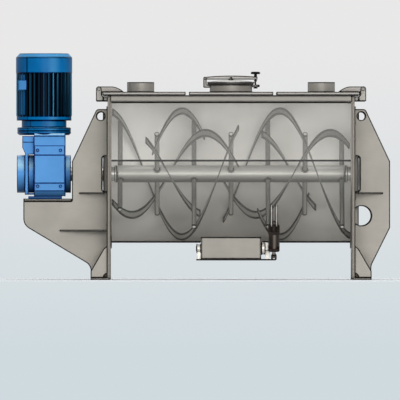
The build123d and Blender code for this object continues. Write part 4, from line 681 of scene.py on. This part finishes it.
# %% Trough welds
trough_bead, rim_out, rim_drop, seam_rise = 0.0065, 0.002, 0.003, 0.001
under_left, under_right = 0.03, 0.09  # how far the seam goes on below the chute's flange
plate_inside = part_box("left_end_plate")[1][0]
flange_left, flange_right = (corner[0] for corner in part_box("chute_flange"))
rim_y = abs(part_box("trough_front_upper")[0][1]) + rim_out
rim_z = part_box("rim_rails")[0][2] - rim_drop
seam_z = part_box("trough_rear_shell")[0][2] + seam_rise
# The dark rim welds are partly weld and partly painted shade under the rim rails.
rim_beads_and_shade = [
    bead((plate_inside, y, rim_z), (-plate_inside, y, rim_z), (0, 0, 1), trough_bead)
    for y in (-rim_y, rim_y)
]
add_piece("rim_welds", rim_beads_and_shade, weld_steel, "root")
seam_runs = (
    (plate_inside, flange_left + under_left),
    (flange_right - under_right, -plate_inside),
)
bottom_beads = [
    bead((start, 0, seam_z), (end, 0, seam_z), (0, 0, 1), trough_bead) for start, end in seam_runs
]
add_piece("bottom_seam", bottom_beads, weld_steel, "root")

# %% [markdown]
# ## Welds of the spouts and the hatch neck
# Each spout and the neck of the hatch stand on a lid with a ring of weld round their foot.
# The spouts' rings belong to their lids, so they swing up with them. A torus would do for a
# smooth ring; the bead carried round a circle ripples as the other welds do.

# %% A round bead
def square_axes(axis):
    """An axis and two directions of unit length square to it and to each other."""
    axis = np.asarray(axis, float)
    first = np.cross(axis, (0.0, 0.6, 0.8) if abs(axis[0]) > 0.5 else (1.0, 0.0, 0.0))
    first /= np.linalg.norm(first)
    return axis, first, np.cross(axis, first)


def ring_bead(middle, axis, radius, thick, ripples=0, count=72):
    """A round weld bead or collar: a circle of that thickness carried round an axis.

    The path is the middle plus radius times (cosine, sine) of the turn; each ripple swells
    the circle by about an eighth."""
    axis, first, second = square_axes(axis)
    turn = np.linspace(0, 2 * pi, count, endpoint=False)[:, None]
    path = np.array(middle) + radius * (np.cos(turn) * first + np.sin(turn) * second)
    swell = 1 + 0.12 * np.sin(ripples * turn[:, 0])
    return carried(path, axis, circle_profile(thick), swell, ring=True)


print("a round bead has", len(ring_bead((0, 0, 0), (0, 0, 1), 0.1, 0.005)), "rows of points")

# %% Spout and neck welds
foot_rise = 0.001


def foot_ring(name, node, body, middle_x, radius, thick, ripples):
    """A weld ring round the foot of an upright round piece."""
    middle = (middle_x, 0.0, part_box(node)[0][2] + foot_rise)
    ring = ring_bead(middle, (0, 0, 1), radius, thick, ripples, count=240)
    add_piece(name, [ring], weld_steel, body, ring=True)


def spout_ring(name, node, body):
    """A weld ring as wide as the spout is deep."""
    low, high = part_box(node)
    middle_x, radius = (low[0] + high[0]) / 2, (high[1] - low[1]) / 2
    foot_ring(name, node, body, middle_x, radius, thick=0.004, ripples=60)


spout_ring("left_spout_weld", "left_spout", "left_lid")
spout_ring("right_spout_weld", "right_spout", "right_lid")
foot_ring("neck_weld", "hatch_neck", "root", 0.0, 0.149, thick=0.005, ripples=40)

# %% [markdown]
# ## The agitator's joints
# Every arm passes through the central tube and is welded to it where it comes out. The weld
# follows a saddle: as it goes round the arm it dips to both sides of the round tube. Cutting
# one pipe with the other could find that curve, but both are round, so it can be written
# down. The arm ends are closed by small bright caps, and the tube ends in a weld all round.

# %% Arm welds
shaft_height, tube_radius = 0.74, 0.0595
arm_radius, arm_count, last_arm = 0.01685, 7, 0.777
arm_places = np.linspace(-last_arm, last_arm, arm_count)
arm_angles = np.radians(37.0 + 90.0 * (np.arange(arm_count) % 2))


def arm_direction(angle, side):
    """Along an arm to one side: 0, sine, cosine of its angle from straight up."""
    return side * np.array([0.0, sin(angle), cos(angle)])


def saddle_weld(place, angle, side, thick=0.0035, count=48):
    """A bead on the saddle curve where an arm leaves the tube.

    Round the arm by a turn t, the curve is arm radius times (cos t, sin t) across the arm, and
    the square root of tube radius squared minus (arm radius times sin t) squared along it."""
    arm = arm_direction(angle, side)
    shaft = np.array([1.0, 0.0, 0.0])
    beside = np.cross(shaft, arm)
    turn = np.linspace(0, 2 * pi, count, endpoint=False)[:, None]
    out = np.cos(turn) * shaft + np.sin(turn) * beside
    along_arm = np.sqrt(tube_radius**2 - (arm_radius * np.sin(turn)) ** 2)
    saddle = np.array([place, 0.0, shaft_height]) + arm_radius * out + along_arm * arm
    profile = circle_profile(thick)
    return saddle[:, None] + profile[None, :, :1] * out[:, None] + profile[None, :, 1:] * arm


arms = list(zip(arm_places, arm_angles))
welds = [saddle_weld(place, angle, side) for place, angle in arms for side in (-1, 1)]
add_piece("arm_welds", welds, weld_steel, "agitator", ring=True)

# %% A low dome
def dome(foot, axis, radius, height, rows=5, count=16):
    """A low dome on a short rim.

    For a turn from nothing to nine tenths of a quarter, the reach is radius times its cosine
    and the rise is height times (0.3 plus 0.7 times its sine)."""
    axis, first, second = square_axes(axis)
    rise = np.linspace(0, 0.9 * pi / 2, rows)
    reach = np.concatenate([[1.0], np.cos(rise)]) * radius
    up = np.concatenate([[0.0], 0.3 + 0.7 * np.sin(rise)]) * height
    turn = np.linspace(0, 2 * pi, count, endpoint=False)
    round_axis = np.cos(turn)[:, None] * first + np.sin(turn)[:, None] * second
    return np.array(foot) + up[:, None, None] * axis + reach[:, None, None] * round_axis


print("a dome has", len(dome((0, 0, 0), (0, 0, 1), 0.01, 0.003)), "rows of points")

# %% Arm caps
arm_long, arm_short = 0.4639, 0.313
cap_radius, cap_height, cap_sunk = 0.0125, 0.003, 0.001
reaches = [[arm_long, arm_long] for _ in arms]
reaches[0][1] = reaches[-1][0] = arm_short
caps = []
for (place, angle), both_reaches in zip(arms, reaches):
    for side, reach in zip((1, -1), both_reaches):
        arm = arm_direction(angle, side)
        foot = np.array([place, 0.0, shaft_height]) + (reach - cap_sunk) * arm
        caps.append(dome(foot, arm, cap_radius, cap_height))
add_piece("arm_caps", caps, cap_steel, "agitator")

# %% Tube end welds
tube_end, collar_radius, collar_thick = 0.8005, 0.0578, 0.003
collars = [
    ring_bead((x, 0, shaft_height), (1, 0, 0), collar_radius, collar_thick, ripples=40, count=120)
    for x in (-tube_end, tube_end)
]
add_piece("tube_end_welds", collars, weld_steel, "agitator", ring=True)

# %% [markdown]
# ## Bars behind the lifting holes
# Between the two bracket plates of each end a flat bar stiffens the end plate. It shows
# through the lifting holes of the brackets. A stretched cube could stand for it; a profile
# with round corners, carried straight up, also catches light along its edges.

# %% A profile with round corners
def plate_profile(width, height, corner, count=4):
    """Rectangle with round corners: quarter circles moved out to its four corners."""
    turn = np.linspace(0, pi / 2, count) + np.arange(4)[:, None] * pi / 2
    signs = np.array([(1, 1), (-1, 1), (-1, -1), (1, -1)])[:, None]
    middles = signs * (np.array([width, height]) / 2 - corner)
    arcs = corner * np.stack([np.cos(turn), np.sin(turn)], axis=-1)
    return (middles + arcs).reshape(-1, 2)


print("a plate profile has", len(plate_profile(0.04, 0.01, 0.002)), "points")

# %% End bars
plate_outside = -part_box("left_end_plate")[0][0]
bar_depth, bar_thick, bar_corner = 0.036, 0.012, 0.002
bar_x, bar_low, bar_high = plate_outside + bar_depth / 2, 0.95, 1.18
bar_profile = plate_profile(bar_depth, bar_thick, bar_corner)
bars = [
    carried(straight((x, 0, bar_low), (x, 0, bar_high)), (0, 1, 0), bar_profile)
    for x in (-bar_x, bar_x)
]
add_piece("end_bars", bars, inner_steel, "root")

# %% [markdown]
# ## Bearing bolts
# The heads of the bearing bolts are plain hexagons in the construction model. Real ones have
# a turned crown, which catches the light. A flattened sphere would hide half of itself in
# the head, so each head gets the low dome of the arm caps, which has only the part that shows.

# %% Bolt domes
bolt_circle, head_out = 0.102, 0.0278
head_top = plate_outside + head_out
bolt_turns = np.radians(22.5 + 45.0 * np.arange(8))
crown_radius, crown_height = 0.0072, 0.003
domes = []
for side in (-1, 1):
    for turn in bolt_turns:
        foot = (side * head_top, bolt_circle * cos(turn), shaft_height + bolt_circle * sin(turn))
        domes.append(dome(foot, (side, 0, 0), crown_radius, crown_height))
add_piece("bearing_bolt_domes", domes, cap_steel, "root")

# %% [markdown]
# ## Rings on the flap bearings
# A dark retaining ring sits at each end of the two flap bearings. It is smooth, so a torus
# would do; the round bead without ripples is the same shape and is already at hand.

# %% Flap bearing rings
ring_thick = 0.0035
flap_low, flap_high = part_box("flap_shaft")
flap_y, flap_z = (flap_low[1] + flap_high[1]) / 2, (flap_low[2] + flap_high[2]) / 2
ring_sizes = ((-0.239, 0.0295), (-0.213, 0.0295), (0.2145, 0.0425), (0.2375, 0.0405))
rings = [ring_bead((x, flap_y, flap_z), (1, 0, 0), radius, ring_thick) for x, radius in ring_sizes]
add_piece("flap_bearing_rings", rings, weld_steel, "root", ring=True)

# %% [markdown]
# ## Motor panel and terminal lid
# On the left of the motor the fins end at a smooth curved panel, and on it sits a small flat
# lid for the terminals. The panel could be cut out of a pipe; a plate's profile, carried
# round the motor's upright axis, has its round corners at once.

# %% Motor panel
fan_low, fan_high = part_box("motor_fan")
motor_x = (fan_low[0] + fan_high[0]) / 2
motor_low, motor_high = (corner[2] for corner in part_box("motor_housing"))
panel_low, panel_high = motor_low + 0.034, motor_high - 0.004
panel_radius, panel_thick, panel_corner = 0.1925, 0.007, 0.0015
panel_from, panel_to, panel_steps = -65.5, -43.0, 12

# The path is the radius times (sine, minus cosine) of the turn from the front.
panel_turn = np.radians(np.linspace(panel_from, panel_to, panel_steps))
panel_path = np.stack(
    [
        motor_x + panel_radius * np.sin(panel_turn),
        -panel_radius * np.cos(panel_turn),
        np.full(panel_steps, (panel_low + panel_high) / 2),
    ],
    axis=-1,
)
panel_profile = plate_profile(panel_thick, panel_high - panel_low, panel_corner)
panel = carried(panel_path, (0, 0, 1), panel_profile)
add_piece("motor_side_panel", [panel], motor_paint, "root")

# %% Terminal lid
lid_x, lid_front, lid_back, lid_z = motor_x - 0.153, -0.157, -0.12, 1.362
lid_width, lid_height, lid_corner = 0.056, 0.07, 0.006
lid_path = straight((lid_x, lid_front, lid_z), (lid_x, lid_back, lid_z))
lid_block = carried(lid_path, (0, 0, 1), plate_profile(lid_width, lid_height, lid_corner))
add_piece("terminal_lid", [lid_block], lid_paint, "root")

# %% [markdown]
# ## Gearbox seams
# The gearbox is bolted together from castings. Where they meet, a thin dark line of sealant
# shows on the front and on the rear. It could be drawn in the paint; a thin bead stays sharp
# close up and stands out a little, as sealant does.

# %% Gearbox seams
seam_radius, seam_pitch, seam_out = 0.0028, 0.05, 0.0002
block_seam, block_width, block_margin = 1.0025, 0.219, 0.002
bulge_seam, bulge_depth, bulge_margin = 0.962, 0.045, 0.006
gear_low, gear_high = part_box("gearbox_housing")
block_left = gear_high[0] - block_width
block_face = abs(gear_low[1]) + seam_out
bulge_face = abs(gear_low[1]) - bulge_depth + seam_out
seams = []
for side in (-1, 1):
    for start, end, y, z in (
        (block_left, gear_high[0] - block_margin, side * block_face, block_seam),
        (gear_low[0] + bulge_margin, block_left, side * bulge_face, bulge_seam),
    ):
        seams.append(bead((start, y, z), (end, y, z), (0, 0, 1), seam_radius, seam_pitch))
add_piece("gearbox_seams", seams, seam_paint, "root")

# %% [markdown]
# ## The clamp's sleeve
# Below the yoke the clamp bolt carries a short black sleeve, which turns and lifts with it.
# It is a turned shape. An outline with a Screw modifier could give it, but four heights with
# a radius each, carried round the bolt, say it all.

# %% Clamp sleeve
clamp_low, clamp_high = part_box("clamp_knob")
clamp_x = (clamp_low[0] + clamp_high[0]) / 2
yoke_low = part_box("hatch_yoke")[0][2]
sleeve_height = np.array([-0.0005, -0.002, -0.009, -0.012])[:, None]
sleeve_radius = np.array([0.0085, 0.0105, 0.0105, 0.0075])[:, None]
sleeve_turn = np.linspace(0, 2 * pi, 24, endpoint=False)
sleeve = np.stack(
    [
        clamp_x + sleeve_radius * np.cos(sleeve_turn),
        sleeve_radius * np.sin(sleeve_turn),
        yoke_low + sleeve_height + 0 * sleeve_turn,
    ],
    axis=-1,
)
add_piece("clamp_sleeve", [sleeve], knob_plastic, "clamp")

# %% [markdown]
# ## The pale room
# What the camera sees behind the mixer should be nearly white, but a world that bright would
# wash out the steel, and a white wall would serve one view only. Light Path keeps the two
# apart: camera, mirror and glass rays see the pale sky, and a dimmer plain one gives light.

# %% World
def pale_world(horizon=0.009, light=0.24):
    """Sky that is near white above the horizon and faintly blue below it, and a dimmer plain light.

    Camera, mirror and glass rays see the sky; all other rays meet the plain light."""
    world = bpy.data.worlds.new("studio")
    bpy.context.scene.world = world
    world.use_nodes = True
    tree = world.node_tree
    direction = tree.nodes.new("ShaderNodeTexCoord").outputs["Generated"]
    height = add_node(tree, "ShaderNodeSeparateXYZ", {"Vector": direction}).outputs["Z"]
    share = between(tree, height, 0.0, 1.0, -horizon, horizon)
    shown = tree.nodes["Background"]
    sky = mixed(tree, share, tone(207, 218, 223), tone(233, 232, 232))
    tree.links.new(sky, shown.inputs["Color"])
    shown.inputs["Strength"].default_value = 1.0
    plain = {"Color": tone(250, 251, 255), "Strength": light}
    lighting = add_node(tree, "ShaderNodeBackground", plain)
    rays = add_node(tree, "ShaderNodeLightPath").outputs
    seen = add_node(
        tree, "ShaderNodeMath", {0: rays["Is Camera Ray"], 1: rays["Is Glossy Ray"]},
        operation="ADD",
    )
    seen = add_node(
        tree, "ShaderNodeMath", {0: seen.outputs[0], 1: rays["Is Transmission Ray"]},
        operation="ADD", use_clamp=True,
    )
    shaders = {0: seen.outputs[0], 1: lighting.outputs[0], 2: shown.outputs[0]}
    mix = add_node(tree, "ShaderNodeMixShader", shaders)
    tree.links.new(mix.outputs[0], tree.nodes["World Output"].inputs["Surface"])


pale_world()
print("world:", bpy.context.scene.world.name)

# %% [markdown]
# ## Lamps
# Broad far lamps add light from above, from a little right of the front, from both sides
# and from the back, so that the mixer is lit from wherever it is looked at. Lamps close by
# would light one end more than the other; suns light the whole length alike. One wide low
# lamp in front shines in below the lids.

# %% Lamps
def placed_lamp(name, kind, power):
    """A lamp of a kind in the scene, still at the origin."""
    data = bpy.data.lights.new(name, kind)
    data.energy = power
    lamp = bpy.data.objects.new(name, data)
    bpy.context.scene.collection.objects.link(lamp)
    return lamp


def sun(name, right, up, power, spread):
    """A far lamp that shines from that many degrees right of the front and up from the floor."""
    lamp = placed_lamp(name, "SUN", power)
    lamp.data.angle = radians(spread)
    side, rise = radians(right), radians(up)
    towards = Vector((sin(side) * cos(rise), -cos(side) * cos(rise), sin(rise)))
    lamp.location = 6.0 * towards
    lamp.rotation_euler = towards.to_track_quat("Z", "Y").to_euler()


def front_panel(name, width, height, power, place):
    """A wide low lamp that faces the mixer from the front."""
    lamp = placed_lamp(name, "AREA", power)
    lamp.data.shape = "RECTANGLE"
    lamp.data.size, lamp.data.size_y = width, height
    lamp.location = place
    lamp.rotation_euler = (pi / 2, 0, 0)


for name, right, up, power, spread in (
    ("top_lamp", 0.0, 79.0, 1.15, 30.0),
    ("low_lamp", 10.0, 12.0, 0.4, 20.0),
    ("left_lamp", -20.0, 40.0, 0.1, 25.0),
    ("left_side_lamp", -100.0, 30.0, 0.28, 25.0),
    ("right_side_lamp", 100.0, 30.0, 0.28, 25.0),
    ("back_lamp", 180.0, 35.0, 0.35, 30.0),
):
    sun(name, right, up, power, spread)
front_panel("front_lamp", 5.0, 1.2, 133.0, (0.4, -6.0, 0.9))
print("lamps:", [lamp.name for lamp in bpy.data.lights])

# %% [markdown]
# ## The floor
# A plain plane would end in an edge, so the mixer stands on a wide pale disc that fades out
# towards its rim and keeps the shadow. Seen edge-on the disc would draw a dark line; a very
# faint glow that only the camera sees makes that line pale.

# %% Floor
def pale_floor(radius=3.6, clear=0.3, glow=0.02):
    """A pale disc that fades out from the clear radius to its rim."""
    bpy.ops.mesh.primitive_circle_add(
        vertices=96, radius=radius, fill_type="NGON", location=(0, 0, -0.0005)
    )
    floor = bpy.context.object
    floor.name = "floor"
    material, tree, shader, place = new_finish("pale_floor")
    clouds = speckle(tree, place, 2.0)
    colour = mixed(tree, clouds, tone(246, 248, 250), tone(250, 251, 252))
    tree.links.new(colour, shader.inputs["Base Color"])
    reach = add_node(tree, "ShaderNodeVectorMath", {0: place}, operation="LENGTH")
    fade = between(tree, reach.outputs["Value"], 1.0, 0.0, clear, radius)
    tree.links.new(fade, shader.inputs["Alpha"])
    shader.inputs["Roughness"].default_value = 0.9
    shader.inputs["Specular IOR Level"].default_value = 0.0
    seen = add_node(tree, "ShaderNodeLightPath").outputs["Is Camera Ray"]
    shader.inputs["Emission Color"].default_value = (0.5, 0.8, 1.0, 1.0)
    tree.links.new(between(tree, seen, 0.0, glow), shader.inputs["Emission Strength"])
    floor.data.materials.append(material)
    print("floor of", radius, "m radius")


pale_floor()
